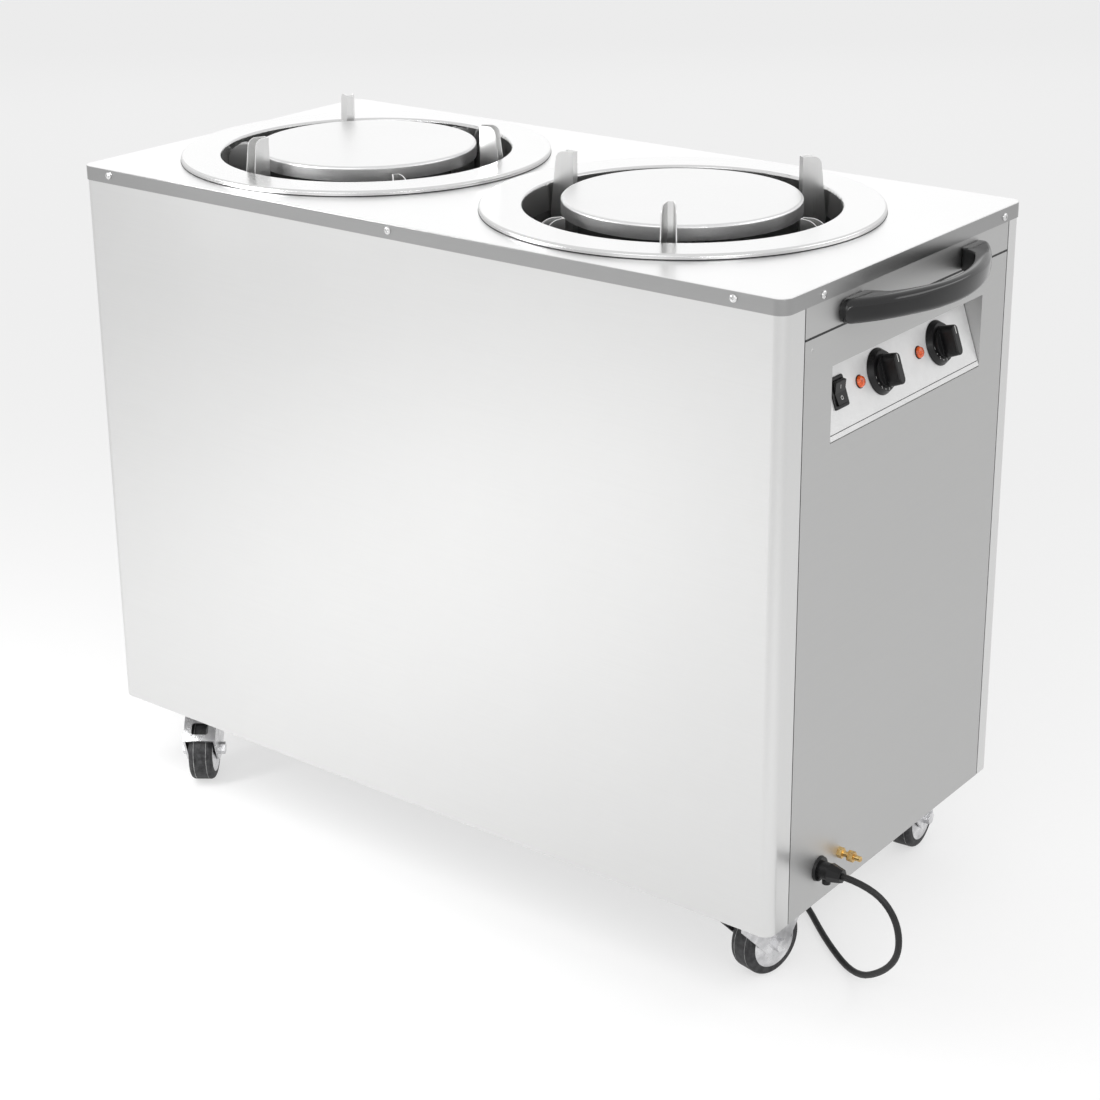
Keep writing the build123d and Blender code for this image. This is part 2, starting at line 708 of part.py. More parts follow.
# Bonding terminal: a brass stud with two nuts outside the panel and one inside
terminal_plane = Plane(
    origin=(RIGHT_X, FRONT_Y + TERMINAL_FORWARD, BODY_BOTTOM + TERMINAL_RISE),
    x_dir=(0, 1, 0),
    z_dir=(1, 0, 0),
)
with BuildPart() as bonding_terminal:
    with BuildSketch(terminal_plane.offset(-TERMINAL_INSIDE)):
        Circle(TERMINAL_RADIUS)
    extrude(amount=TERMINAL_INSIDE + TERMINAL_LENGTH)
    chamfer(
        bonding_terminal.faces().sort_by(Axis.X)[-1].edges(),
        length=TERMINAL_RADIUS / 4,
    )
    for nut_start in (-SHEET - TERMINAL_NUT_HEIGHT, 0, TERMINAL_NUT_PLACE):
        with BuildSketch(terminal_plane.offset(nut_start)):
            RegularPolygon(TERMINAL_NUT_RADIUS, 6)
        extrude(amount=TERMINAL_NUT_HEIGHT)
    with BuildSketch(terminal_plane.offset(TERMINAL_NUT_PLACE)):
        Circle(TERMINAL_NUT_RADIUS)
    extrude(amount=-TERMINAL_WASHER)
save(bonding_terminal.part, "bonding_terminal")


def annulus(outer, inner):
    """A ring-shaped sketch about the local origin."""
    Circle(outer)
    Circle(inner, mode=Mode.SUBTRACT)


GUIDE_REACH = RING_BORE - 3 * TOUCH_GAP
GUIDE_BOTTOM = DISH_Z + GUIDE_FLOOR_GAP


def folded_guide(well_x, turn, top, setback, corner):
    """One folded guide, its wings rounded at the outer top corner."""
    across, along = polar(1, turn)
    base = Plane(origin=(well_x, 0, GUIDE_BOTTOM), x_dir=(across, along, 0))
    side = Plane(
        origin=(well_x, 0, 0),
        x_dir=(across, along, 0),
        z_dir=(along, -across, 0),
    )
    half = GUIDE_WEB / 2
    spread = tan(radians(GUIDE_SPREAD))
    tip = half + (GUIDE_REACH - GUIDE_INNER) * spread
    skin = GUIDE_SHEET / cos(radians(GUIDE_SPREAD))
    with BuildPart() as guide:
        with BuildSketch(base):
            with BuildLine():
                Polyline(
                    (GUIDE_INNER, -half),
                    (GUIDE_REACH, -tip),
                    (GUIDE_REACH, -tip + skin),
                    (GUIDE_INNER + GUIDE_SHEET, -half + GUIDE_SHEET),
                    (GUIDE_INNER + GUIDE_SHEET, half - GUIDE_SHEET),
                    (GUIDE_REACH, tip - skin),
                    (GUIDE_REACH, tip),
                    (GUIDE_INNER, half),
                    close=True,
                )
            make_face()
        extrude(amount=top - GUIDE_BOTTOM)
        with BuildSketch(side) as wing:
            with BuildLine():
                Polyline(
                    (GUIDE_INNER - 1, GUIDE_BOTTOM),
                    (GUIDE_INNER - 1, top),
                    (GUIDE_REACH - setback, top),
                    (GUIDE_REACH, CAP_TOP - COLLAR_DEPTH),
                    (GUIDE_REACH, GUIDE_BOTTOM),
                    close=True,
                )
            make_face()
            crown = wing.vertices().sort_by_distance((GUIDE_REACH - setback, top))[0]
            fillet(crown, radius=corner)
        extrude(amount=3 * GUIDE_WEB, both=True, mode=Mode.INTERSECT)
    return guide.part


def folded_guides(name, well_x, first, top, setback, corner):
    """Three folded guides spaced evenly about a well."""
    guides = [
        folded_guide(well_x, first + turn, top, setback, corner)
        for turn in (0, 120, 240)
    ]
    with BuildPart() as group:
        add(guides)
    save(group.part, name)


def well_ring(name, well_x):
    """Spun ring: flat top, rolled outer edge and a collar down into the well."""
    face = Plane(origin=(well_x, 0, 0), x_dir=(1, 0, 0), z_dir=(0, -1, 0))
    inner_bend = RING_BEND - RING_SHEET
    with BuildPart() as ring:
        with BuildSketch(face) as outline:
            with BuildLine():
                Polyline(
                    (RING_BORE, CAP_TOP - COLLAR_DEPTH),
                    (RING_BORE, RING_TOP),
                    (RING_RADIUS, RING_TOP),
                    (RING_RADIUS, CAP_TOP),
                    (RING_RADIUS - RING_SHEET, CAP_TOP),
                    (RING_RADIUS - RING_SHEET, RING_TOP - RING_SHEET),
                    (COLLAR_OUTER, RING_TOP - RING_SHEET),
                    (COLLAR_OUTER, CAP_TOP - COLLAR_DEPTH),
                    close=True,
                )
            make_face()
            outer_corners = [(RING_BORE, RING_TOP), (RING_RADIUS, RING_TOP)]
            for spot in outer_corners:
                fillet(outline.vertices().sort_by_distance(spot)[0], radius=RING_BEND)
            inner_corners = [
                (RING_RADIUS - RING_SHEET, RING_TOP - RING_SHEET),
                (COLLAR_OUTER, RING_TOP - RING_SHEET),
            ]
            for spot in inner_corners:
                fillet(outline.vertices().sort_by_distance(spot)[0], radius=inner_bend)
        revolve(axis=Axis((well_x, 0, 0), (0, 0, 1)))
    save(ring.part, name)


def well_tube(name, well_x, first):
    """Well liner under the cap, with a top flange and three slots for the arms."""
    centre = Plane(origin=(well_x, 0, 0))
    with BuildPart() as tube:
        with BuildSketch(centre.offset(DISH_Z + DISH_SHEET)):
            annulus(TUBE_OUTER, TUBE_INNER)
        extrude(amount=CAP_UNDER - DISH_Z - DISH_SHEET)
        with BuildSketch(centre.offset(CAP_UNDER - TUBE_SHEET)):
            annulus(TUBE_OUTER + TUBE_FLANGE, TUBE_INNER)
        extrude(amount=TUBE_SHEET)
        with BuildSketch(centre.offset(SLOT_BOTTOM)):
            with PolarLocations((TUBE_INNER + TUBE_OUTER) / 2, 3, first + ARM_OFFSET):
                Rectangle(ARM_WIDTH, SLOT_WIDTH)
        extrude(amount=SLOT_TOP - SLOT_BOTTOM, mode=Mode.SUBTRACT)
    save(tube.part, name)


def well_dish(name, well_x):
    """Shallow dish that closes the liner at the bottom and stands on three feet."""
    centre = Plane(origin=(well_x, 0, 0))
    wall_inner = TUBE_OUTER + TOUCH_GAP
    with BuildPart() as dish:
        with BuildSketch(centre.offset(DISH_Z)):
            Circle(wall_inner + DISH_SHEET)
        extrude(amount=DISH_WALL)
        with BuildSketch(centre.offset(DISH_Z + DISH_SHEET)):
            Circle(wall_inner)
        extrude(amount=DISH_WALL, mode=Mode.SUBTRACT)
        with BuildSketch(centre.offset(PAN_TOP)):
            with PolarLocations(wall_inner - STEM_RADIUS, 3, 90):
                Circle(STEM_RADIUS / 3)
        extrude(amount=DISH_Z - PAN_TOP)
        with BuildSketch(centre.offset(DISH_Z)):
            with Locations((HEATER_LEAD_X, 0)):
                with GridLocations(1, HEATER_LEAD_SPACING, 1, 2):
                    Circle(HEATER_ROD + TOUCH_GAP)
        extrude(amount=DISH_SHEET, mode=Mode.SUBTRACT)
    save(dish.part, name)


def well_heater(name, well_x):
    """Sheathed heating rod bent to an open ring, with two leads down through the dish."""
    lead_turn = degrees(asin(HEATER_LEAD_SPACING / 2 / HEATER_CIRCLE))
    ring_z = DISH_Z + HEATER_RISE
    across, along = polar(1, lead_turn)
    section = Plane(
        origin=(well_x, 0, ring_z),
        x_dir=(across, along, 0),
        z_dir=(along, -across, 0),
    )
    with BuildPart() as element:
        with BuildSketch(section):
            with Locations((HEATER_CIRCLE, 0)):
                Circle(HEATER_ROD)
        revolve(
            axis=Axis((well_x, 0, ring_z), (0, 0, 1)),
            revolution_arc=360 - 2 * lead_turn,
        )
        with BuildSketch(Plane.XY.offset(DISH_Z - HEATER_ROD)):
            with Locations((well_x + HEATER_LEAD_X, 0)):
                with GridLocations(1, HEATER_LEAD_SPACING, 1, 2):
                    Circle(HEATER_ROD)
        extrude(amount=ring_z - DISH_Z + HEATER_ROD)
    save(element.part, name)


def plate_platform(name, well_x):
    """Spun platform: a flat disc with a deep turned-down rim."""
    with BuildPart() as platform:
        with BuildSketch(Plane(origin=(well_x, 0, PLATFORM_TOP - PLATFORM_RIM))):
            Circle(PLATFORM_RADIUS)
        extrude(amount=PLATFORM_RIM)
        fillet(platform.faces().sort_by(Axis.Z)[-1].edges(), radius=PLATFORM_BEND)
        with BuildSketch(Plane(origin=(well_x, 0, PLATFORM_TOP - PLATFORM_RIM))):
            Circle(PLATFORM_RADIUS - PLATFORM_SHEET)
        extrude(amount=PLATFORM_RIM - PLATFORM_SHEET, mode=Mode.SUBTRACT)
    save(platform.part, name)


def well_carriage(name, well_x, first):
    """Carriage: a hub plate with three arms, and a stem up to the platform's flange."""
    centre = Plane(origin=(well_x, 0, 0))
    with BuildPart() as carriage:
        with BuildSketch(centre.offset(CARRIAGE_Z)):
            Circle(CARRIAGE_HUB)
            with PolarLocations(0, 3, first + ARM_OFFSET):
                with Locations((ARM_REACH / 2, 0)):
                    Rectangle(ARM_REACH, ARM_WIDTH)
            with PolarLocations(SPRING_CIRCLE, 3, first + ARM_OFFSET):
                Circle(SPRING_HOLE, mode=Mode.SUBTRACT)
        extrude(amount=CARRIAGE_SHEET)
        with BuildSketch(centre.offset(CARRIAGE_Z - CARRIAGE_SHEET)):
            with PolarLocations(0, 3, first + ARM_OFFSET):
                with Locations((ARM_REACH / 2 + CARRIAGE_HUB / 4, 0)):
                    Rectangle(ARM_REACH - CARRIAGE_HUB, CARRIAGE_SHEET)
        extrude(amount=-2 * CARRIAGE_SHEET, both=True)
        with BuildSketch(centre.offset(CARRIAGE_TOP)):
            Circle(STEM_RADIUS)
        extrude(amount=PLATFORM_UNDER - CARRIAGE_TOP)
        with BuildSketch(centre.offset(PLATFORM_UNDER - CARRIAGE_SHEET)):
            Circle(STEM_FLANGE)
        extrude(amount=CARRIAGE_SHEET)
        with BuildSketch(centre.offset(CARRIAGE_Z)):
            Circle(STEM_RADIUS - STEM_WALL)
        extrude(amount=PLATFORM_UNDER - CARRIAGE_Z, mode=Mode.SUBTRACT)
    save(carriage.part, name)


def spring_hangers(name, well_x, first):
    """Three angle brackets outside the liner that carry the springs' upper hooks."""
    centre = Plane(origin=(well_x, 0, 0))
    leg_inner = TUBE_OUTER + TOUCH_GAP
    leg_middle = leg_inner + HANGER_SHEET / 2
    tab_length = ARM_REACH - leg_inner
    with BuildPart() as hangers:
        with BuildSketch(centre.offset(HANGER_Z)):
            with PolarLocations(leg_middle, 3, first + ARM_OFFSET):
                Rectangle(HANGER_SHEET, HANGER_WIDTH)
        extrude(amount=CAP_UNDER - TUBE_SHEET - HANGER_Z)
        with BuildSketch(centre.offset(HANGER_Z)):
            with PolarLocations(leg_inner + tab_length / 2, 3, first + ARM_OFFSET):
                Rectangle(tab_length, HANGER_WIDTH)
            with PolarLocations(SPRING_CIRCLE, 3, first + ARM_OFFSET):
                Circle(SPRING_HOLE, mode=Mode.SUBTRACT)
        extrude(amount=HANGER_SHEET)
    save(hangers.part, name)


def lifting_springs(name, well_x, first):
    """Three close-wound springs from the hangers down to the carriage arms."""
    centre = Plane(origin=(well_x, 0, 0))
    body_top = HANGER_Z - SPRING_NECK
    body_bottom = CARRIAGE_TOP + SPRING_NECK
    turn = first + ARM_OFFSET
    with BuildPart() as springs:
        with BuildSketch(centre.offset(body_bottom)):
            with PolarLocations(SPRING_CIRCLE, 3, turn):
                Circle(SPRING_RADIUS)
                Circle(SPRING_BORE, mode=Mode.SUBTRACT)
        extrude(amount=body_top - body_bottom)
        for cap_z in (body_bottom, body_top - 2 * SPRING_HOOK):
            with BuildSketch(centre.offset(cap_z)):
                with PolarLocations(SPRING_CIRCLE, 3, turn):
                    Circle(SPRING_RADIUS)
            extrude(amount=2 * SPRING_HOOK)
        for hook_z in (CARRIAGE_Z, body_top - SPRING_HOOK):
            with BuildSketch(centre.offset(hook_z)):
                with PolarLocations(SPRING_CIRCLE, 3, turn):
                    Circle(SPRING_HOOK)
            extrude(amount=SPRING_NECK + CARRIAGE_SHEET + SPRING_HOOK)
    save(springs.part, name)


for well_number, (well_x, first) in enumerate(zip(WELL_X, FIRST_GUIDE), start=1):
    well_ring(f"well_{well_number}_ring", well_x)
    well_tube(f"well_{well_number}_liner", well_x, first)
    well_dish(f"well_{well_number}_dish", well_x)
    well_heater(f"well_{well_number}_heater", well_x)
    folded_guides(
        f"well_{well_number}_plate_guides",
        well_x,
        first,
        CAP_TOP + GUIDE_RISE,
        GUIDE_TOP_SETBACK,
        GUIDE_TOP_RADIUS,
    )
    folded_guides(
        f"well_{well_number}_rail_fins",
        well_x,
        first + FIN_OFFSET,
        CAP_TOP - FIN_DROP,
        GUIDE_SHEET,
        FIN_TOP_RADIUS,
    )
    plate_platform(f"well_{well_number}_platform", well_x)
    well_carriage(f"well_{well_number}_carriage", well_x, first)
    spring_hangers(f"well_{well_number}_spring_hangers", well_x, first)
    lifting_springs(f"well_{well_number}_lifting_springs", well_x, first)


# Casters: a fixed plate with a ball race, and a swivelling fork with its wheel
PLATE_Z = CASTER_HEIGHT - CASTER_PLATE_SHEET
FORK_OUTER = FORK_INNER + 2 * FORK_SHEET
RACE_HEIGHT = (PLATE_Z - FORK_TOP - TOUCH_GAP) / 2
CASTER_SPOTS = (
    ("front_left", LEFT_X + CASTER_INSET_X, FRONT_Y + CASTER_INSET_Y),
    ("front_right", RIGHT_X - CASTER_INSET_X, FRONT_Y + CASTER_INSET_Y),
    ("rear_right", RIGHT_X - CASTER_INSET_X, REAR_Y - CASTER_INSET_Y),
    ("rear_left", LEFT_X + CASTER_INSET_X, REAR_Y - CASTER_INSET_Y),
)


def caster_plate(name, swivel):
    """Mounting plate under the cabinet, upper race and kingpin."""
    pin_bottom = FORK_TOP - 2 * FORK_SHEET
    with BuildPart() as plate:
        with BuildSketch(Plane(origin=swivel.origin + Vector(0, 0, PLATE_Z))):
            RectangleRounded(CASTER_PLATE[0], CASTER_PLATE[1], KINGPIN_RADIUS)
        extrude(amount=CASTER_PLATE_SHEET)
        with BuildSketch(swivel.offset(PLATE_Z - RACE_HEIGHT)):
            Circle(RACE_RADIUS)
        extrude(amount=RACE_HEIGHT)
        with BuildSketch(swivel.offset(pin_bottom)):
            Circle(KINGPIN_RADIUS)
        extrude(amount=PLATE_Z - pin_bottom)
    save(plate.part, name)


def caster_fork(name, swivel):
    """Pressed fork: two legs, a hooded nose over the wheel with a window, and the axle."""
    side = Plane(
        origin=swivel.origin,
        x_dir=swivel.x_dir,
        z_dir=-swivel.y_dir,
    )
    hood_x, hood_z = polar(WHEEL_RADIUS + HOOD_GAP, HOOD_ANGLE)
    hood_x, hood_z = hood_x + WHEEL_TRAIL, hood_z + WHEEL_RADIUS
    crown_x = WHEEL_TRAIL + CROWN_LENGTH
    window = Plane(
        origin=side.from_local_coords(((crown_x + hood_x) / 2, (FORK_TOP + hood_z) / 2)),
        x_dir=swivel.y_dir,
        z_dir=side.from_local_coords((FORK_TOP - hood_z, hood_x - crown_x))
        - side.origin,
    )
    with BuildPart() as fork:
        with BuildSketch(side) as leg:
            with BuildLine():
                Polyline(
                    (-FORK_NOSE, FORK_TOP),
                    (crown_x, FORK_TOP),
                    (hood_x, hood_z),
                    (WHEEL_TRAIL + AXLE_BOSS, WHEEL_RADIUS - AXLE_BOSS),
                    (WHEEL_TRAIL - AXLE_BOSS, WHEEL_RADIUS - AXLE_BOSS),
                    (-FORK_NOSE, FORK_TOP - FORK_SKIRT),
                    close=True,
                )
            make_face()
            fillet(leg.vertices().sort_by(Axis.Y)[:2], radius=AXLE_BOSS - 2)
        extrude(amount=FORK_OUTER / 2, both=True)
        with BuildSketch(side):
            with BuildLine():
                Polyline(
                    (-FORK_NOSE - 1, FORK_TOP - FORK_SHEET),
                    (crown_x - FORK_SHEET / 3, FORK_TOP - FORK_SHEET),
                    (hood_x, hood_z - 4 * FORK_SHEET / 3),
                    (hood_x + 1, 0),
                    (-FORK_NOSE - 1, 0),
                    close=True,
                )
            make_face()
        extrude(amount=FORK_INNER / 2, both=True, mode=Mode.SUBTRACT)
        with BuildSketch(window):
            RectangleRounded(FORK_WINDOW[0], FORK_WINDOW[1], FORK_SHEET)
        extrude(amount=2 * FORK_SHEET, both=True, mode=Mode.SUBTRACT)
        with BuildSketch(swivel.offset(FORK_TOP)):
            Circle(RACE_RADIUS)
        extrude(amount=RACE_HEIGHT)
        with BuildSketch(swivel.offset(FORK_TOP - FORK_SHEET)):
            Circle(KINGPIN_RADIUS + AXLE_CLEARANCE)
        extrude(amount=FORK_SHEET + RACE_HEIGHT, mode=Mode.SUBTRACT)
        axle = side.offset(-FORK_OUTER / 2 - HEX_HEIGHT)
        with BuildSketch(axle):
            with Locations((WHEEL_TRAIL, WHEEL_RADIUS)):
                Circle(AXLE_RADIUS)
        extrude(amount=FORK_OUTER + 2 * HEX_HEIGHT)
        for start in (-FORK_OUTER / 2 - HEX_HEIGHT, FORK_OUTER / 2):
            with BuildSketch(side.offset(start)):
                with Locations((WHEEL_TRAIL, WHEEL_RADIUS)):
                    RegularPolygon(HEX_FLATS / 2, 6, major_radius=False)
            extrude(amount=HEX_HEIGHT)
    save(fork.part, name)


def wheel_face(swivel):
    """Plane through the wheel's centre with its X along the axle."""
    centre = swivel.from_local_coords((WHEEL_TRAIL, 0, WHEEL_RADIUS))
    return Plane(origin=centre, x_dir=swivel.y_dir, z_dir=swivel.x_dir)


def caster_hub(name, swivel):
    """Wheel centre: bored hub, thin web and a rim under the tyre."""
    face = wheel_face(swivel)
    with BuildPart() as hub:
        with BuildSketch(face):
            half_hub, half_rim, half_web = HUB_WIDTH / 2, TYRE_WIDTH / 2 - 2, HUB_WEB / 2
            bore = AXLE_RADIUS + AXLE_CLEARANCE
            rim_inner = TYRE_BORE - HUB_RIM
            with BuildLine():
                Polyline(
                    (-half_hub, bore),
                    (-half_hub, HUB_RADIUS - 2),
                    (-half_web, HUB_RADIUS),
                    (-half_web, rim_inner - 1),
                    (-half_rim, rim_inner),
                    (-half_rim, TYRE_BORE),
                    (half_rim, TYRE_BORE),
                    (half_rim, rim_inner),
                    (half_web, rim_inner - 1),
                    (half_web, HUB_RADIUS),
                    (half_hub, HUB_RADIUS - 2),
                    (half_hub, bore),
                    close=True,
                )
            make_face()
        revolve(axis=Axis(face.origin, face.x_dir))
    save(hub.part, name)


def caster_tyre(name, swivel):
    """Rubber tyre with rounded shoulders."""
    face = wheel_face(swivel)
    with BuildPart() as tyre:
        with BuildSketch(face) as section:
            with Locations((0, (TYRE_BORE + WHEEL_RADIUS) / 2)):
                Rectangle(TYRE_WIDTH, WHEEL_RADIUS - TYRE_BORE)
            fillet(section.vertices().sort_by(Axis.Y)[-2:], radius=TYRE_SHOULDER)
        revolve(axis=Axis(face.origin, face.x_dir))
    save(tyre.part, name)


for (corner, spot_x, spot_y), heading in zip(CASTER_SPOTS, CASTER_HEADINGS):
    swivel_plane = Plane(origin=(spot_x, spot_y, 0), x_dir=(*polar(1, heading), 0))
    caster_plate(f"{corner}_caster_plate", swivel_plane)
    caster_fork(f"{corner}_caster_fork", swivel_plane)
    caster_hub(f"{corner}_wheel_hub", swivel_plane)
    caster_tyre(f"{corner}_wheel_tyre", swivel_plane)


# Supply cord: out of the gland, down, under the cabinet and out at the back
CORD_RADIUS = CORD_DIAMETER / 2
FLOOR_Z = CORD_RADIUS + TOUCH_GAP
COIL_PITCH = CORD_DIAMETER + COIL_GAP
COIL_TOP_Z = FLOOR_Z + COIL_PITCH
COIL_REVERSE = COIL_TURNS_IN + COIL_CLIMB / 2
COIL_TURNS = COIL_TURNS_IN + COIL_CLIMB + COIL_TURNS_OUT
PLUG_Z = PLUG_RADIUS + TOUCH_GAP


def coil_point(turn):
    """Centre line of the coil: in along the lower layer, up, and out along the upper."""
    radius = COIL_RADIUS + COIL_PITCH * (abs(turn - COIL_REVERSE) - COIL_REVERSE)
    climb = min(max((turn - COIL_TURNS_IN) / COIL_CLIMB, 0), 1)
    z = FLOOR_Z + COIL_PITCH * (1 - cos(pi * climb)) / 2
    x, y = polar(radius, 360 * turn)
    return Vector(COIL_X + x, COIL_Y + y, z)


def coil_tangent(turn):
    """Direction of the coil's centre line, square to its radius at the two ends."""
    if turn in (0, COIL_TURNS):
        return Vector(*polar(1, 360 * turn + 90), 0)
    step = 0.001
    return (coil_point(turn + step) - coil_point(turn - step)).normalized()


def biarc(start, start_tangent, end, end_tangent):
    """Two arcs that leave and arrive along the given tangents."""
    chord = end - start
    along = chord.dot(start_tangent + end_tangent)
    spread = 2 * (1 - start_tangent.dot(end_tangent))
    reach = (sqrt(along**2 + spread * chord.dot(chord)) - along) / spread
    first_corner = start + start_tangent * reach
    last_corner = end - end_tangent * reach
    joint = (first_corner + last_corner) / 2
    TangentArc(start, joint, tangent=start_tangent)
    TangentArc(joint, end, tangent=last_corner - first_corner)


def bend_radii(points):
    """Radius at each inner point: a share of the shorter run over tan of half the turn."""
    radii = []
    for before, here, after in zip(points, points[1:], points[2:]):
        run_in = Vector(here) - Vector(before)
        run_out = Vector(after) - Vector(here)
        half_turn = radians(run_in.get_angle(run_out) / 2)
        shorter = min(run_in.length, run_out.length)
        radii.append(BEND_SHARE * shorter / tan(half_turn))
    return radii


def report_cord(name, tube, length):
    """Print a stretch's length and its volume against section times length."""
    expected = pi * CORD_RADIUS**2 * length
    print(f"{name}: length {length:.0f}, volume ratio {tube.volume / expected:.4f}")


def cord_tube(name, points):
    """A free stretch of cord as straight runs joined by tangent arcs."""
    radii = bend_radii(points)
    with BuildPart() as tube:
        with BuildLine() as path:
            FilletPolyline(*points, radius=radii)
        with BuildSketch(path.wire() ^ 0):
            Circle(CORD_RADIUS)
        sweep()
    print(f"{name}: bend radii {[round(radius) for radius in radii]}")
    report_cord(name, tube.part, path.wire().length)
    save(tube.part, name)


coil_start = coil_point(0) - coil_tangent(0) * CORD_DIAMETER
coil_end = coil_point(COIL_TURNS) + coil_tangent(COIL_TURNS) * CORD_DIAMETER
cord_tube(
    "power_cord",
    [
        (RIGHT_X + GLAND_LENGTH, GLAND_Y, GLAND_Z),
        (499, GLAND_Y, GLAND_Z),
        (527, -135, 116),
        (530, -130, 74),
        (507, -119, 38),
        (462, -98, FLOOR_Z),
        (402, -57, FLOOR_Z),
        (338, 2, FLOOR_Z),
        (262, 44, FLOOR_Z),
        (180, 72, FLOOR_Z),
        (106, 110, FLOOR_Z),
        (52, 172, FLOOR_Z),
        (coil_start.X, coil_start.Y - 53, FLOOR_Z),
        tuple(coil_start),
    ],
)

with BuildPart() as cord_coil:
    with BuildLine() as coil_path:
        Line(coil_start, coil_point(0))
        steps = [quarter / 4 for quarter in range(round(4 * COIL_TURNS) + 1)]
        for turn, next_turn in zip(steps, steps[1:]):
            biarc(
                coil_point(turn),
                coil_tangent(turn),
                coil_point(next_turn),
                coil_tangent(next_turn),
            )
        Line(coil_point(COIL_TURNS), coil_end)
    with BuildSketch(coil_path.wire() ^ 0):
        Circle(CORD_RADIUS)
    sweep()
coil_wire = coil_path.wire()
coil_length = coil_wire.length
report_cord("power_cord_coil", cord_coil.part, coil_length)
sample_count = round(coil_length / 4)
samples = [coil_wire @ (index / sample_count) for index in range(sample_count + 1)]
apart = round(6 * CORD_DIAMETER / 4)
least = min(
    (samples[i] - samples[j]).length
    for i in range(len(samples))
    for j in range(i + apart, len(samples))
)
print(f"power_cord_coil: least gap to itself {least - CORD_DIAMETER:.2f}")
save(cord_coil.part, "power_cord_coil")

plug_start = coil_end + Vector(-176, -24, PLUG_Z - COIL_TOP_Z)
cord_tube(
    "power_cord_tail",
    [
        tuple(coil_end),
        tuple(coil_end + Vector(-42, 0, 0)),
        tuple(coil_end + Vector(-90, -18, 2.6)),
        tuple(plug_start + Vector(40, 0, 0)),
        tuple(plug_start),
    ],
)

# Mains plug: a round moulded body with a tapered neck and two pins, lying on the floor
plug_side = Plane(origin=plug_start, x_dir=(-1, 0, 0), z_dir=(0, 1, 0))
plug_face = Plane(
    origin=plug_start - Vector(PLUG_LENGTH, 0, 0),
    x_dir=(0, 1, 0),
    z_dir=(-1, 0, 0),
)
with BuildPart() as mains_plug:
    with BuildSketch(plug_side):
        with BuildLine():
            Polyline(
                (0, 0),
                (0, PLUG_NECK_RADIUS),
                (PLUG_NECK, PLUG_NECK_RADIUS + 1),
                (PLUG_SHOULDER, PLUG_RADIUS - PLUG_RIM),
                (PLUG_LENGTH - PLUG_RIM, PLUG_RADIUS),
                (PLUG_LENGTH, PLUG_RADIUS - PLUG_RIM),
                (PLUG_LENGTH, 0),
                close=True,
            )
        make_face()
    revolve(axis=Axis(plug_start, (1, 0, 0)))
    with BuildSketch(plug_face):
        with Locations((0, -PIN_SPACING / 2)):
            Circle(PIN_RADIUS)
    extrude(amount=-PIN_LENGTH, mode=Mode.SUBTRACT)
    with BuildSketch(plug_face):
        with GridLocations(PIN_SPACING, 1, 2, 1):
            Circle(PIN_RADIUS)
    extrude(amount=PIN_LENGTH)
save(mains_plug.part, "mains_plug")
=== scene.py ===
"""Looks of the mobile plate dispenser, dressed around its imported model."""

import json
import logging
import math
from dataclasses import dataclass, field
from enum import Enum
from functools import cache
from typing import Sequence, Union

import bmesh
import bpy
from mathutils import Matrix, Vector

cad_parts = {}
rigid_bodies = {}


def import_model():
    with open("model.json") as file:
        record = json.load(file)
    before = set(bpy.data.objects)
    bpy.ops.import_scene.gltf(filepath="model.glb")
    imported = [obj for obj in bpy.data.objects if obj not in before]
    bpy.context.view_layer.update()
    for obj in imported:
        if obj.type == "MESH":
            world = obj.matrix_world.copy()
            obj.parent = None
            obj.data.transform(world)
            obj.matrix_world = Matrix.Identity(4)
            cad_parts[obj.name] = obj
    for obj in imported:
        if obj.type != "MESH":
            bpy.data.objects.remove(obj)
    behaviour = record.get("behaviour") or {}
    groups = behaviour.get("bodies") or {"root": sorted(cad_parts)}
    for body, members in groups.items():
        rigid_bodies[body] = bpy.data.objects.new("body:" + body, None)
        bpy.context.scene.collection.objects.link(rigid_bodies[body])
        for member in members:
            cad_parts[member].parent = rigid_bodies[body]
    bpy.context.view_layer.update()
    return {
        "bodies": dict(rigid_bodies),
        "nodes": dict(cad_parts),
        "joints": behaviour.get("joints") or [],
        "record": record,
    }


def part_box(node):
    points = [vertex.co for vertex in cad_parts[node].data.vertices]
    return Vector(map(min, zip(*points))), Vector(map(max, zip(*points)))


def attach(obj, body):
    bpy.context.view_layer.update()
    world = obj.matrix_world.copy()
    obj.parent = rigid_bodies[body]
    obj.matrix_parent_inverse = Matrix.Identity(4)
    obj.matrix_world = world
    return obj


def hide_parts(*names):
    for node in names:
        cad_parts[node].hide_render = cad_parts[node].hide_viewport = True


LOG = logging.getLogger("plate_dispenser")
MM = 0.001
INK = 0.04
MERGE_GAP = 1e-5

Point = Sequence[float]
Feed = Union[bpy.types.NodeSocket, float]


class Grain(Enum):
    """Direction in which a sheet was brushed, as stretch factors along X, Y and Z."""

    ALONG_X = (6.0, 900.0, 900.0)
    ALONG_Y = (900.0, 6.0, 900.0)
    ALONG_Z = (900.0, 900.0, 6.0)
    AROUND = (260.0, 260.0, 700.0)


class Corner(Enum):
    """Corners of the cabinet that carry a caster."""

    FRONT_LEFT = "front_left"
    FRONT_RIGHT = "front_right"
    REAR_RIGHT = "rear_right"
    REAR_LEFT = "rear_left"


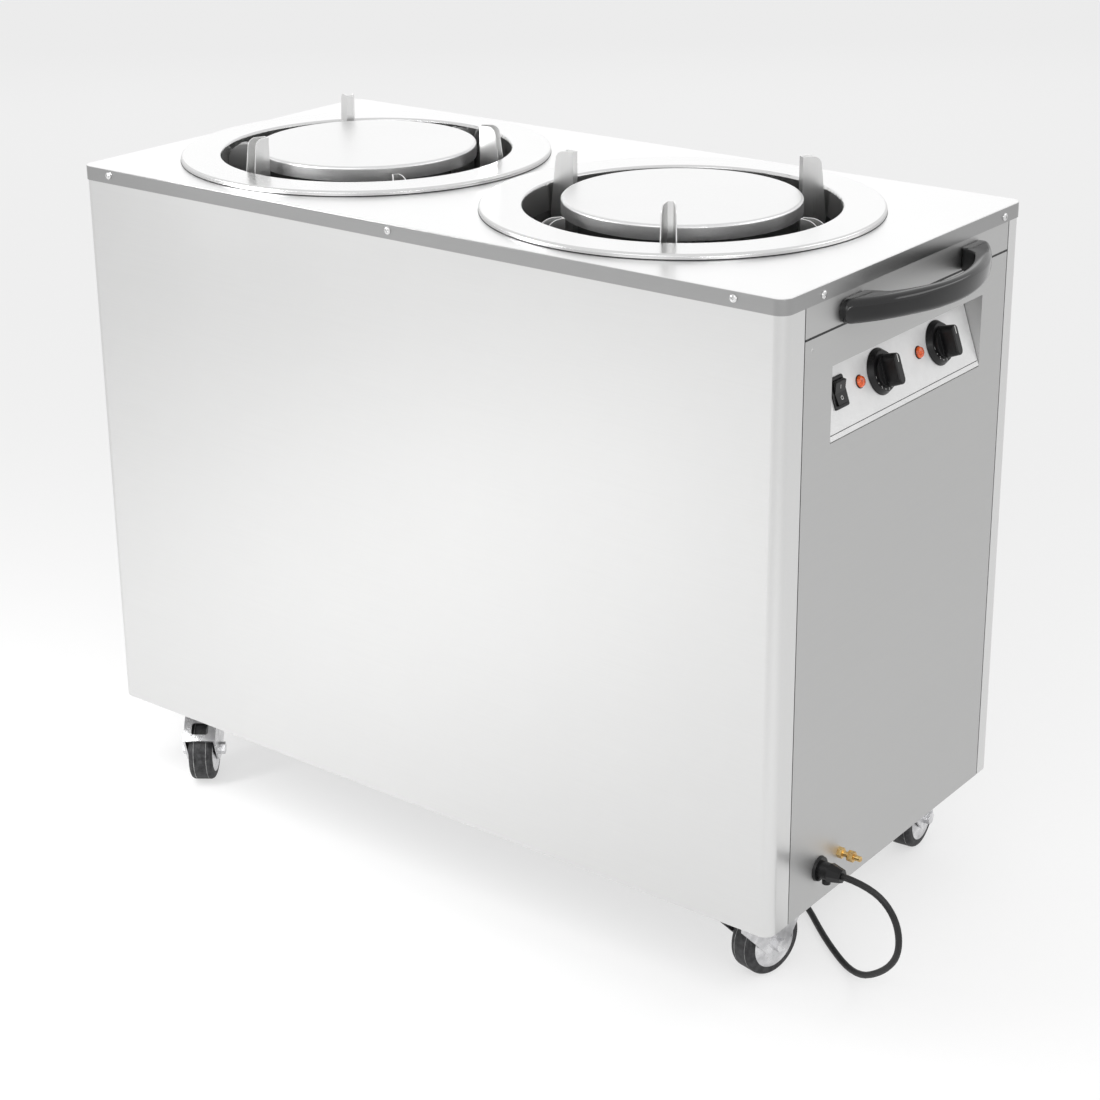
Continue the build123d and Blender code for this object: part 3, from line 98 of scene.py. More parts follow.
@dataclass(frozen=True)
class Layout:
    """Main sizes of the dispenser in millimetres, as in the solids."""

    cabinet_x: float = -26.9
    body_length: float = 928.0
    body_depth: float = 458.0
    cap_top: float = 760.0
    sheet: float = 1.2
    opening_low: float = 599.0
    opening_high: float = 676.0
    opening_depth: float = 26.0
    opening_width: float = 295.0
    fascia_sheet: float = 0.8
    control_line: float = 42.0
    panel_mid_y: float = 4.5
    knob_places: tuple[float, float] = (112.0, 228.0)
    switch_place: float = 33.0
    lamp_places: tuple[float, float] = (73.0, 188.0)
    gland_y: float = -137.0
    gland_z: float = 142.0
    gland_length: float = 28.0

    @property
    def right_x(self) -> float:
        """X of the control end's outer face."""
        return self.cabinet_x + self.body_length / 2

    @property
    def left_x(self) -> float:
        """X of the plain end's outer face."""
        return self.cabinet_x - self.body_length / 2

    @property
    def lean(self) -> float:
        """Angle of the fascia from the vertical, in radians."""
        return math.atan2(self.opening_depth, self.opening_high - self.opening_low)

    def fascia_frame(self, place: float, up: float, out: float) -> Matrix:
        """Place on the fascia.

        Args:
            place: distance from the opening's front edge, in millimetres.
            up: distance up the slope, in millimetres.
            out: distance out of the recess's back, in millimetres.

        Returns:
            A matrix with X to the rear, Y up the slope and Z out, in metres.
        """
        across = Vector((0, 1, 0))
        slope = Vector((-math.sin(self.lean), 0, math.cos(self.lean)))
        normal = Vector((math.cos(self.lean), 0, math.sin(self.lean)))
        corner = Vector(
            (self.right_x, self.panel_mid_y - self.opening_width / 2, self.opening_low)
        )
        spot = (corner + across * place + slope * up + normal * out) * MM
        return frame_matrix(spot, across, slope, normal)


def frame_matrix(spot: Vector, x_axis: Vector, y_axis: Vector, z_axis: Vector) -> Matrix:
    """Matrix from an origin and three axes.

    Args:
        spot: origin in metres.
        x_axis: direction of local X.
        y_axis: direction of local Y.
        z_axis: direction of local Z.

    Returns:
        The four by four matrix.
    """
    turned = Matrix((x_axis, y_axis, z_axis)).transposed().to_4x4()
    return Matrix.Translation(spot) @ turned


def moved(x: float, y: float, z: float) -> Matrix:
    """Matrix that moves by millimetres."""
    return Matrix.Translation(Vector((x, y, z)) * MM)


def add_object(name: str, data: bpy.types.ID) -> bpy.types.Object:
    """Put data into the scene as a new object."""
    made = bpy.data.objects.new(name, data)
    bpy.context.scene.collection.objects.link(made)
    return made


def plain_mesh(holder: bpy.types.Object) -> bpy.types.Mesh:
    """Mesh of an object with its modifiers or its text applied."""
    graph = bpy.context.evaluated_depsgraph_get()
    return bpy.data.meshes.new_from_object(holder.evaluated_get(graph))


class Graph:
    """A node tree with short calls to add nodes and join sockets."""

    def __init__(self, tree: bpy.types.NodeTree) -> None:
        """Keep the tree and clear it."""
        self.tree = tree
        self.tree.nodes.clear()

    def node(self, kind: str, values: dict | None = None, **settings: object) -> bpy.types.Node:
        """Add a node.

        Args:
            kind: the node's type name.
            values: input values by socket name or number.
            settings: attributes set on the node first.

        Returns:
            The new node.
        """
        made = self.tree.nodes.new(kind)
        for name, value in settings.items():
            setattr(made, name, value)
        for name, value in (values or {}).items():
            made.inputs[name].default_value = value
        return made

    def join(self, source: Feed, target: bpy.types.NodeSocket) -> None:
        """Link a socket to another, or give that one a plain number."""
        if isinstance(source, float):
            target.default_value = source
        else:
            self.tree.links.new(source, target)

    def math(self, operation: str, *values: Feed, clamp: bool = False) -> bpy.types.NodeSocket:
        """Add a math node.

        Args:
            operation: name of the operation.
            values: a socket or a number for each input, in order.
            clamp: whether the result stays between zero and one.

        Returns:
            The result's socket.
        """
        made = self.node("ShaderNodeMath", operation=operation, use_clamp=clamp)
        for value, target in zip(values, made.inputs):
            self.join(value, target)
        return made.outputs[0]

    def noise(
        self, spot: bpy.types.NodeSocket, scale: Feed, detail: float, roughness: float = 0.5
    ) -> bpy.types.NodeSocket:
        """Add a noise texture.

        Args:
            spot: the coordinates that it reads.
            scale: its scale.
            detail: its number of octaves.
            roughness: how much the finer octaves weigh.

        Returns:
            The factor's socket.
        """
        made = self.node("ShaderNodeTexNoise", {"Detail": detail, "Roughness": roughness})
        self.join(spot, made.inputs["Vector"])
        self.join(scale, made.inputs["Scale"])
        return made.outputs["Fac"]


def group_tree(name: str, inputs: dict[str, tuple], outputs: dict[str, str]) -> Graph:
    """Make an empty shader node group.

    Args:
        name: name of the group.
        inputs: socket type and starting value by input name.
        outputs: socket type by output name.

    Returns:
        The graph of the new group.
    """
    tree = bpy.data.node_groups.new(name, "ShaderNodeTree")
    for label, (kind, value) in inputs.items():
        socket = tree.interface.new_socket(label, in_out="INPUT", socket_type=kind)
        socket.default_value = value
    for label, kind in outputs.items():
        tree.interface.new_socket(label, in_out="OUTPUT", socket_type=kind)
    return Graph(tree)


VALUE = "NodeSocketFloat"
COLOR = "NodeSocketColor"
VECTOR = "NodeSocketVector"


@cache
def brushed_group() -> bpy.types.NodeTree:
    """Group for brushed sheet: fine streaks and slow clouding."""
    graph = group_tree(
        "brushed_sheet",
        {
            "Tone": (COLOR, (0.7, 0.7, 0.7, 1)),
            "Stretch": (VECTOR, Grain.ALONG_X.value),
            "Streak": (VALUE, 0.05),
            "Roughness": (VALUE, 0.3),
            "Clouding": (VALUE, 0.05),
        },
        {"Color": COLOR, "Roughness": VALUE, "Height": VALUE},
    )
    entry = graph.node("NodeGroupInput").outputs
    leave = graph.node("NodeGroupOutput").inputs
    spot = graph.node("ShaderNodeTexCoord").outputs["Object"]
    stretch = graph.node("ShaderNodeVectorMath", operation="MULTIPLY")
    graph.join(spot, stretch.inputs[0])
    graph.join(entry["Stretch"], stretch.inputs[1])
    streaks = graph.noise(stretch.outputs[0], 1.0, 5.0, 0.7)
    clouds = graph.noise(spot, 5.0, 3.0)
    streak = graph.math("MULTIPLY", graph.math("SUBTRACT", streaks, 0.5), entry["Streak"])
    cloud = graph.math("MULTIPLY", graph.math("SUBTRACT", clouds, 0.5), entry["Clouding"])
    tone = graph.node("ShaderNodeVectorMath", operation="SCALE")
    graph.join(entry["Tone"], tone.inputs[0])
    graph.join(graph.math("ADD", streak, 1.0), tone.inputs["Scale"])
    rough = graph.math("ADD", entry["Roughness"], cloud)
    graph.join(tone.outputs[0], leave["Color"])
    graph.join(graph.math("ADD", rough, streak, clamp=True), leave["Roughness"])
    graph.join(streaks, leave["Height"])
    return graph.tree


@cache
def mottled_group() -> bpy.types.NodeTree:
    """Group for plated, cast or moulded surfaces: patches and fine grain."""
    graph = group_tree(
        "mottled_surface",
        {
            "Tone": (COLOR, (0.5, 0.5, 0.5, 1)),
            "Patch Tone": (COLOR, (0.4, 0.4, 0.4, 1)),
            "Patch Scale": (VALUE, 60.0),
            "Grain Scale": (VALUE, 900.0),
            "Roughness": (VALUE, 0.4),
            "Spread": (VALUE, 0.1),
        },
        {"Color": COLOR, "Roughness": VALUE, "Height": VALUE},
    )
    entry = graph.node("NodeGroupInput").outputs
    leave = graph.node("NodeGroupOutput").inputs
    spot = graph.node("ShaderNodeTexCoord").outputs["Object"]
    patches = graph.noise(spot, entry["Patch Scale"], 4.0, 0.6)
    grain = graph.noise(spot, entry["Grain Scale"], 2.0)
    ramp = graph.node("ShaderNodeMapRange", {"From Min": 0.35, "From Max": 0.65})
    graph.join(patches, ramp.inputs["Value"])
    mix = graph.node("ShaderNodeMix", data_type="RGBA")
    graph.join(ramp.outputs[0], mix.inputs["Factor"])
    colours = [socket for socket in mix.inputs if socket.type == "RGBA"]
    for label, socket in zip(("Tone", "Patch Tone"), colours):
        graph.join(entry[label], socket)
    mixed = next(socket for socket in mix.outputs if socket.type == "RGBA")
    spread = graph.math("MULTIPLY", graph.math("SUBTRACT", patches, 0.5), entry["Spread"])
    graph.join(mixed, leave["Color"])
    graph.join(graph.math("ADD", entry["Roughness"], spread, clamp=True), leave["Roughness"])
    graph.join(grain, leave["Height"])
    return graph.tree


def grouped_material(
    name: str,
    group: bpy.types.NodeTree,
    values: dict[str, object],
    plain: dict[str, object],
    bump: float,
    depth: float = 0.0002,
) -> tuple[bpy.types.Material, Graph, bpy.types.Node]:
    """Make a material whose Principled shader is fed by a group.

    Args:
        name: name of the material.
        group: the shader group.
        values: the group's values by input name.
        plain: values set on the Principled shader's own sockets.
        bump: strength of the bump from the group's height.
        depth: height of that bump in metres.

    Returns:
        The material, its graph and the group node.
    """
    material = bpy.data.materials.new(name)
    material.use_nodes = True
    graph = Graph(material.node_tree)
    surface = graph.node("ShaderNodeGroup", values, node_tree=group)
    principled = graph.node("ShaderNodeBsdfPrincipled", plain)
    output = graph.node("ShaderNodeOutputMaterial")
    raised = graph.node("ShaderNodeBump", {"Strength": bump, "Distance": depth})
    graph.join(surface.outputs["Color"], principled.inputs["Base Color"])
    graph.join(surface.outputs["Roughness"], principled.inputs["Roughness"])
    graph.join(surface.outputs["Height"], raised.inputs["Height"])
    graph.join(raised.outputs[0], principled.inputs["Normal"])
    graph.join(principled.outputs[0], output.inputs["Surface"])
    return material, graph, surface


@dataclass(frozen=True)
class BrushedSteel:
    """Satin sheet steel with a brushed grain."""

    name: str
    tone: float = 0.72
    grain: Grain = Grain.ALONG_X
    streak: float = 0.06
    roughness: float = 0.3
    clouding: float = 0.06
    bump: float = 0.04
    # Tone painted on upright faces for the light that falls there: painted shade below tone,
    # painted highlight above it.
    upright_painted_tone: float | None = None

    def material(self) -> bpy.types.Material:
        """Build the material."""
        values = {
            "Tone": (self.tone, self.tone, self.tone * 0.995, 1),
            "Stretch": self.grain.value,
            "Streak": self.streak,
            "Roughness": self.roughness,
            "Clouding": self.clouding,
        }
        material, graph, surface = grouped_material(
            self.name, brushed_group(), values, {"Metallic": 1.0}, self.bump
        )
        if self.upright_painted_tone is not None:
            self.paint_light_on_uprights(graph, surface)
        return material

    def paint_light_on_uprights(self, graph: Graph, surface: bpy.types.Node) -> None:
        """Give faces that stand upright a painted tone: painted shade where it is darker than the
        level faces, painted highlight where it is lighter.

        Args:
            graph: the material's graph.
            surface: the brushed sheet group node.
        """
        geometry = graph.node("ShaderNodeNewGeometry")
        parts = graph.node("ShaderNodeSeparateXYZ")
        graph.join(geometry.outputs["Normal"], parts.inputs[0])
        tone = graph.node(
            "ShaderNodeMapRange",
            {
                "From Min": 0.25,
                "From Max": 0.8,
                "To Min": self.upright_painted_tone,
                "To Max": self.tone,
            },
        )
        graph.join(graph.math("ABSOLUTE", parts.outputs["Z"]), tone.inputs["Value"])
        graph.join(tone.outputs[0], surface.inputs["Tone"])


@dataclass(frozen=True)
class Mottled:
    """A plated, cast, moulded or rubber surface with patches and fine grain."""

    name: str
    tone: tuple[float, float, float]
    patch_tone: tuple[float, float, float]
    metallic: float = 0.0
    roughness: float = 0.4
    spread: float = 0.1
    patch_scale: float = 60.0
    grain_scale: float = 900.0
    bump: float = 0.1
    coat: float = 0.0
    specular: float = 0.5

    def material(self) -> bpy.types.Material:
        """Build the material."""
        values = {
            "Tone": (*self.tone, 1),
            "Patch Tone": (*self.patch_tone, 1),
            "Patch Scale": self.patch_scale,
            "Grain Scale": self.grain_scale,
            "Roughness": self.roughness,
            "Spread": self.spread,
        }
        plain = {
            "Metallic": self.metallic,
            "Coat Weight": self.coat,
            "Specular IOR Level": self.specular,
        }
        return grouped_material(self.name, mottled_group(), values, plain, self.bump)[0]


@dataclass(frozen=True)
class AmberLens:
    """Amber lens of a pilot lamp, with a faint glow of its own."""

    name: str = "amber_lens"
    bright: tuple[float, float, float] = (0.88, 0.12, 0.004)
    deep: tuple[float, float, float] = (0.3, 0.025, 0.002)
    patch_scale: float = 420.0
    grain_scale: float = 700.0
    roughness: float = 0.18
    bump: float = 0.3
    bump_depth: float = 0.0003
    coat: float = 0.4
    glow: float = 0.12

    def material(self) -> bpy.types.Material:
        """Build the material."""
        values = {
            "Tone": (*self.bright, 1),
            "Patch Tone": (*self.deep, 1),
            "Patch Scale": self.patch_scale,
            "Grain Scale": self.grain_scale,
            "Roughness": self.roughness,
        }
        plain = {
            "Coat Weight": self.coat,
            "Emission Color": (*self.bright, 1),
            "Emission Strength": self.glow,
        }
        return grouped_material(
            self.name, mottled_group(), values, plain, self.bump, self.bump_depth
        )[0]


class Palette:
    """All finishes of the dispenser, some with painted shade and highlight, each made into a
    material once.
    """

    def __init__(self) -> None:
        """Build every material."""
        black = (0.004, 0.004, 0.0045)
        black_patch = (0.009, 0.009, 0.0095)
        self.front = BrushedSteel("front_sheet", 0.69, Grain.ALONG_X, roughness=0.3).material()
        # Same steel as the front sheet, set darker: painted shade on the side panels, upper strip,
        # recess and base pan.
        self.side = BrushedSteel(
            "shaded_side_sheet", 0.52, Grain.ALONG_Y, streak=0.08, roughness=0.48
        ).material()
        # The cap's upright skirt is painted darker than its top: painted shade.
        self.cap = BrushedSteel(
            "cap_sheet", 0.74, Grain.ALONG_X, roughness=0.3, upright_painted_tone=0.36
        ).material()
        # The ring's upright faces are painted a little darker than its top: painted shade.
        self.ring = BrushedSteel(
            "ring_steel", 0.68, Grain.AROUND, roughness=0.26, upright_painted_tone=0.64
        ).material()
        # The platform's upright rim is painted lighter than its top: painted highlight.
        self.platform = BrushedSteel(
            "platform_steel", 0.71, Grain.AROUND, streak=0.14, roughness=0.34, upright_painted_tone=0.8
        ).material()
        self.guide = BrushedSteel(
            "guide_steel", 0.78, Grain.ALONG_Z, streak=0.1, roughness=0.3
        ).material()
        # Liner steel set dark: painted shade inside the wells.
        self.liner = BrushedSteel(
            "shaded_liner_steel", 0.3, Grain.ALONG_Z, streak=0.2, roughness=0.42, clouding=0.2
        ).material()
        self.fascia = Mottled(
            "fascia_metal", (0.8, 0.8, 0.8), (0.76, 0.76, 0.76), metallic=0.35, roughness=0.4,
            spread=0.05, bump=0.02,
        ).material()
        self.zinc = Mottled(
            "zinc_plate", (0.76, 0.76, 0.77), (0.52, 0.52, 0.53), metallic=1.0,
            roughness=0.28, spread=0.3, patch_scale=70.0, bump=0.2,
        ).material()
        self.bright_zinc = Mottled(
            "bright_fastener", (0.8, 0.8, 0.8), (0.6, 0.6, 0.6), metallic=1.0,
            roughness=0.22, spread=0.1, patch_scale=240.0,
        ).material()
        self.spring = BrushedSteel(
            "spring_wire", 0.4, Grain.ALONG_X, streak=0.4, roughness=0.35
        ).material()
        self.heater = Mottled(
            "heater_sheath", (0.2, 0.19, 0.18), (0.1, 0.09, 0.09), metallic=1.0, roughness=0.5
        ).material()
        self.gloss_black = Mottled(
            "gloss_black_moulding", black, black_patch, roughness=0.11, spread=0.06,
            patch_scale=14.0, bump=0.02, specular=0.5,
        ).material()
        # Black for the mouldings, and for the dark strips painted as shadow in the seam and at the
        # rings' feet.
        self.satin_black = Mottled(
            "satin_black_moulding_and_painted_shadow", black, black_patch, roughness=0.34, spread=0.1,
            patch_scale=40.0, bump=0.12, specular=0.32,
        ).material()
        self.rubber = Mottled(
            "tyre_rubber", (0.014, 0.014, 0.015), (0.055, 0.055, 0.057), roughness=0.6,
            spread=0.2, patch_scale=140.0, bump=0.5, grain_scale=600.0, specular=0.3,
        ).material()
        self.worn_rubber = Mottled(
            "tyre_line_rubber", (0.36, 0.36, 0.36), (0.16, 0.16, 0.16), roughness=0.7,
            patch_scale=150.0, bump=0.4,
        ).material()
        self.wheel = Mottled(
            "wheel_centre", (0.5, 0.5, 0.5), (0.36, 0.36, 0.36), metallic=1.0, roughness=0.4,
            spread=0.2,
        ).material()
        self.cord = Mottled(
            "cord_sheath", (0.008, 0.008, 0.009), (0.018, 0.018, 0.018), roughness=0.5,
            patch_scale=30.0, bump=0.2, specular=0.35,
        ).material()
        self.brass = Mottled(
            "brass", (0.74, 0.53, 0.22), (0.5, 0.32, 0.13), metallic=1.0, roughness=0.3,
            spread=0.2, patch_scale=160.0,
        ).material()
        self.white_print = Mottled(
            "white_print", (0.85, 0.85, 0.84), (0.75, 0.75, 0.74), roughness=0.5
        ).material()
        self.black_print = Mottled(
            "black_print", (0.02, 0.02, 0.02), (0.035, 0.035, 0.035), roughness=0.45
        ).material()
        self.amber = AmberLens().material()


class Workshop:
    """Ways to make meshes and to hang finished pieces on the frame."""

    def __init__(self, frame: dict, palette: Palette) -> None:
        """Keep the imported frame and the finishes."""
        self.frame = frame
        self.palette = palette

    def dress(self, material: bpy.types.Material, *nodes: str) -> None:
        """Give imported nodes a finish.

        Args:
            material: the finish.
            nodes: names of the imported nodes.
        """
        for node in nodes:
            mesh = self.frame["nodes"][node].data
            mesh.materials.clear()
            mesh.materials.append(material)
            LOG.info("dressed %s in %s", node, material.name)

    def fit(
        self, piece: bpy.types.Object, body: str, slot: str, stands_for: Sequence[str] = ()
    ) -> bpy.types.Object:
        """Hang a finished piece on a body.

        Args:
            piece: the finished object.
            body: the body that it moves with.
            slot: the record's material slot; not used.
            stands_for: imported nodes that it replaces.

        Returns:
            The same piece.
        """
        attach(piece, body)
        if stands_for:
            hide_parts(*stands_for)
        LOG.info("fitted %s to %s", piece.name, body)
        return piece

    def from_bmesh(
        self,
        name: str,
        shape: bmesh.types.BMesh,
        material: bpy.types.Material,
        place: Matrix | None = None,
        smooth: float = 35.0,
    ) -> bpy.types.Object:
        """Turn a bmesh in millimetres into an object in metres.

        Args:
            name: name of the piece.
            shape: the bmesh, freed afterwards.
            material: its finish.
            place: where its local axes go, in metres.
            smooth: edge angle in degrees up to which shading is smooth.

        Returns:
            The object, at the origin.
        """
        bmesh.ops.remove_doubles(shape, verts=shape.verts, dist=MERGE_GAP)
        bmesh.ops.recalc_face_normals(shape, faces=shape.faces)
        shape.transform(Matrix.Scale(MM, 4))
        if place is not None:
            shape.transform(place)
        limit = math.radians(smooth)
        for face in shape.faces:
            face.smooth = True
        for edge in shape.edges:
            if len(edge.link_faces) == 2:
                edge.smooth = edge.calc_face_angle(0.0) < limit
        mesh = bpy.data.meshes.new(name)
        shape.to_mesh(mesh)
        shape.free()
        mesh.materials.append(material)
        return add_object(name, mesh)

    @staticmethod
    def lathe(profile: Sequence[Point], segments: int = 48) -> bmesh.types.BMesh:
        """Turn a profile about Z.

        Args:
            profile: radius and height pairs in millimetres.
            segments: number of steps round.

        Returns:
            The turned bmesh.
        """
        shape = bmesh.new()
        turns = [2 * math.pi * step / segments for step in range(segments)]
        rings = []
        for radius, height in profile:
            if radius < MERGE_GAP:
                rings.append([shape.verts.new((0, 0, height))])
                continue
            points = [(radius * math.cos(turn), radius * math.sin(turn)) for turn in turns]
            rings.append([shape.verts.new((x, y, height)) for x, y in points])
        for low, high in zip(rings, rings[1:]):
            for step in range(segments):
                after = (step + 1) % segments
                corners = [low[step % len(low)], low[after % len(low)]]
                corners += [high[after % len(high)], high[step % len(high)]]
                face = list(dict.fromkeys(corners))
                if len(face) > 2:
                    shape.faces.new(face)
        return shape

    @staticmethod
    def block(size: Point, bevel: float = 0.0, segments: int = 2) -> bmesh.types.BMesh:
        """A block with rounded edges about the origin.

        Args:
            size: lengths along X, Y and Z in millimetres.
            bevel: edge radius in millimetres.
            segments: steps in each rounded edge.

        Returns:
            The bmesh.
        """
        shape = bmesh.new()
        bmesh.ops.create_cube(shape, size=1.0)
        shape.transform(Matrix.Diagonal((*size, 1)))
        if bevel:
            bmesh.ops.bevel(
                shape,
                geom=shape.edges[:],
                offset=bevel,
                segments=segments,
                affect="EDGES",
                profile=0.5,
            )
        return shape

    def lettering(
        self, name: str, words: str, height: float, place: Matrix, material: bpy.types.Material
    ) -> bpy.types.Object:
        """Printed figures as a thin mesh.

        Args:
            name: name of the piece.
            words: the figures.
            height: letter size in millimetres.
            place: where the middle of the figures goes, in metres.
            material: the ink.

        Returns:
            The mesh object.
        """
        text = bpy.data.curves.new(name, "FONT")
        text.body = words
        text.size = height * MM
        text.align_x = "CENTER"
        text.align_y = "CENTER"
        text.extrude = INK * MM
        holder = add_object(name, text)
        mesh = plain_mesh(holder)
        bpy.data.objects.remove(holder)
        mesh.transform(place)
        mesh.materials.clear()
        mesh.materials.append(material)
        return add_object(name, mesh)

    def join(self, name: str, parts: Sequence[bpy.types.Object]) -> bpy.types.Object:
        """Merge several made objects into one piece.

        Args:
            name: name of the merged piece.
            parts: the objects, removed afterwards.

        Returns:
            The merged piece.
        """
        shape = bmesh.new()
        materials = []
        for part in parts:
            own = part.data.materials[0]
            if own not in materials:
                materials.append(own)
            before = len(shape.faces)
            shape.from_mesh(part.data)
            shape.faces.ensure_lookup_table()
            for face in shape.faces[before:]:
                face.material_index = materials.index(own)
            bpy.data.objects.remove(part)
        mesh = bpy.data.meshes.new(name)
        shape.to_mesh(mesh)
        shape.free()
        for material in materials:
            mesh.materials.append(material)
        return add_object(name, mesh)


class PointScatter:
    """Geometry Nodes tree that sets copies of one template on facing points."""

    def __init__(self, shop: Workshop) -> None:
        """Build the tree once."""
        self.shop = shop
        self.tree = bpy.data.node_groups.new("set_on_points", "GeometryNodeTree")
        face = self.tree.interface
        face.new_socket("Points", in_out="INPUT", socket_type="NodeSocketGeometry")
        inputs = {
            "Template": "NodeSocketObject",
            "Finish": "NodeSocketMaterial",
            "Largest Turn": VALUE,
        }
        self.sockets = {
            label: face.new_socket(label, in_out="INPUT", socket_type=kind).identifier
            for label, kind in inputs.items()
        }
        face.new_socket("Geometry", in_out="OUTPUT", socket_type="NodeSocketGeometry")
        graph = Graph(self.tree)
        entry = graph.node("NodeGroupInput")
        leave = graph.node("NodeGroupOutput")
        facing = graph.node(
            "GeometryNodeInputNamedAttribute", {"Name": "facing"}, data_type="FLOAT_VECTOR"
        )
        align = graph.node("FunctionNodeAlignRotationToVector", axis="Z")
        graph.join(facing.outputs["Attribute"], align.inputs["Vector"])
        random = graph.node("FunctionNodeRandomValue", {"Seed": 7}, data_type="FLOAT")
        graph.join(entry.outputs["Largest Turn"], random.inputs[3])
        spin = graph.node("FunctionNodeAxisAngleToRotation", {"Axis": (0, 0, 1)})
        graph.join(random.outputs[1], spin.inputs["Angle"])
        turned = graph.node("FunctionNodeRotateRotation", rotation_space="LOCAL")
        graph.join(align.outputs[0], turned.inputs["Rotation"])
        graph.join(spin.outputs[0], turned.inputs["Rotate By"])
        template = graph.node("GeometryNodeObjectInfo", transform_space="ORIGINAL")
        graph.join(entry.outputs["Template"], template.inputs["Object"])
        copies = graph.node("GeometryNodeInstanceOnPoints")
        graph.join(entry.outputs["Points"], copies.inputs["Points"])
        graph.join(template.outputs["Geometry"], copies.inputs["Instance"])
        graph.join(turned.outputs[0], copies.inputs["Rotation"])
        real = graph.node("GeometryNodeRealizeInstances")
        graph.join(copies.outputs[0], real.inputs[0])
        finish = graph.node("GeometryNodeSetMaterial")
        graph.join(real.outputs[0], finish.inputs["Geometry"])
        graph.join(entry.outputs["Finish"], finish.inputs["Material"])
        graph.join(finish.outputs[0], leave.inputs[0])

    def scatter(
        self,
        name: str,
        template: bmesh.types.BMesh,
        spots: Sequence[tuple[Point, Point]],
        material: bpy.types.Material,
        largest_turn: float = math.pi,
    ) -> bpy.types.Object:
        """Set copies of a template on points.

        Args:
            name: name of the finished piece.
            template: the shape in millimetres, standing on its local Z.
            spots: place in millimetres and facing direction of each copy.
            material: finish of the copies.
            largest_turn: largest random turn about the facing direction.

        Returns:
            One plain mesh object with all the copies.
        """
        pattern = self.shop.from_bmesh(f"{name}_pattern", template, material)
        mesh = bpy.data.meshes.new(f"{name}_points")
        mesh.from_pydata([Vector(spot) * MM for spot, _ in spots], [], [])
        facing = mesh.attributes.new("facing", "FLOAT_VECTOR", "POINT")
        for index, (_, direction) in enumerate(spots):
            facing.data[index].vector = Vector(direction).normalized()
        holder = add_object(f"{name}_points", mesh)
        modifier = holder.modifiers.new("set", "NODES")
        modifier.node_group = self.tree
        values = {"Template": pattern, "Finish": material, "Largest Turn": largest_turn}
        for label, value in values.items():
            modifier[self.sockets[label]] = value
        made = plain_mesh(holder)
        holder.modifiers.clear()
        bpy.data.objects.remove(holder)
        bpy.data.objects.remove(pattern)
        made.name = name
        if "facing" in made.attributes:
            made.attributes.remove(made.attributes["facing"])
        return add_object(name, made)


def carve(shape: bmesh.types.BMesh, cutter: bmesh.types.BMesh) -> bmesh.types.BMesh:
    """Cut one closed bmesh out of another.

    Args:
        shape: the shape that stays, freed here.
        cutter: the shape that is taken away, freed here.

    Returns:
        The cut bmesh.
    """
    objects = []
    for name, part in (("carved", shape), ("cutter", cutter)):
        bmesh.ops.remove_doubles(part, verts=part.verts, dist=MERGE_GAP)
        bmesh.ops.recalc_face_normals(part, faces=part.faces)
        mesh = bpy.data.meshes.new(name)
        part.to_mesh(mesh)
        part.free()
        objects.append(add_object(name, mesh))
    modifier = objects[0].modifiers.new("cut", "BOOLEAN")
    modifier.object = objects[1]
    modifier.operation = "DIFFERENCE"
    modifier.solver = "EXACT"
    result = bmesh.new()
    result.from_mesh(plain_mesh(objects[0]))
    for made in objects:
        bpy.data.objects.remove(made)
    return result


@dataclass
class PanHead:
    """Head of a sheet-metal screw with a cross recess."""

    radius: float = 4.2
    height: float = 2.2
    slot_width: float = 0.8
    slot_length: float = 3.4
    slot_depth: float = 0.7
    rim_share: float = 0.3
    flat_share: float = 0.35
    crown_steps: int = 6

    def shape(self) -> bmesh.types.BMesh:
        """Build the head, standing on its local Z."""
        profile = [(0, 0), (self.radius, 0), (self.radius, self.height * self.rim_share)]
        for step in range(1, self.crown_steps):
            angle = math.pi / 2 * step / self.crown_steps
            out = self.flat_share + (1 - self.flat_share) * math.cos(angle)
            up = self.rim_share + (1 - self.rim_share) * math.sin(angle)
            profile.append((self.radius * out, self.height * up))
        profile.append((0, self.height))
        head = Workshop.lathe(profile, 28)
        for size in ((self.slot_length, self.slot_width), (self.slot_width, self.slot_length)):
            slot = Workshop.block((*size, 2 * self.slot_depth))
            bmesh.ops.translate(slot, verts=slot.verts, vec=(0, 0, self.height))
            head = carve(head, slot)
        return head


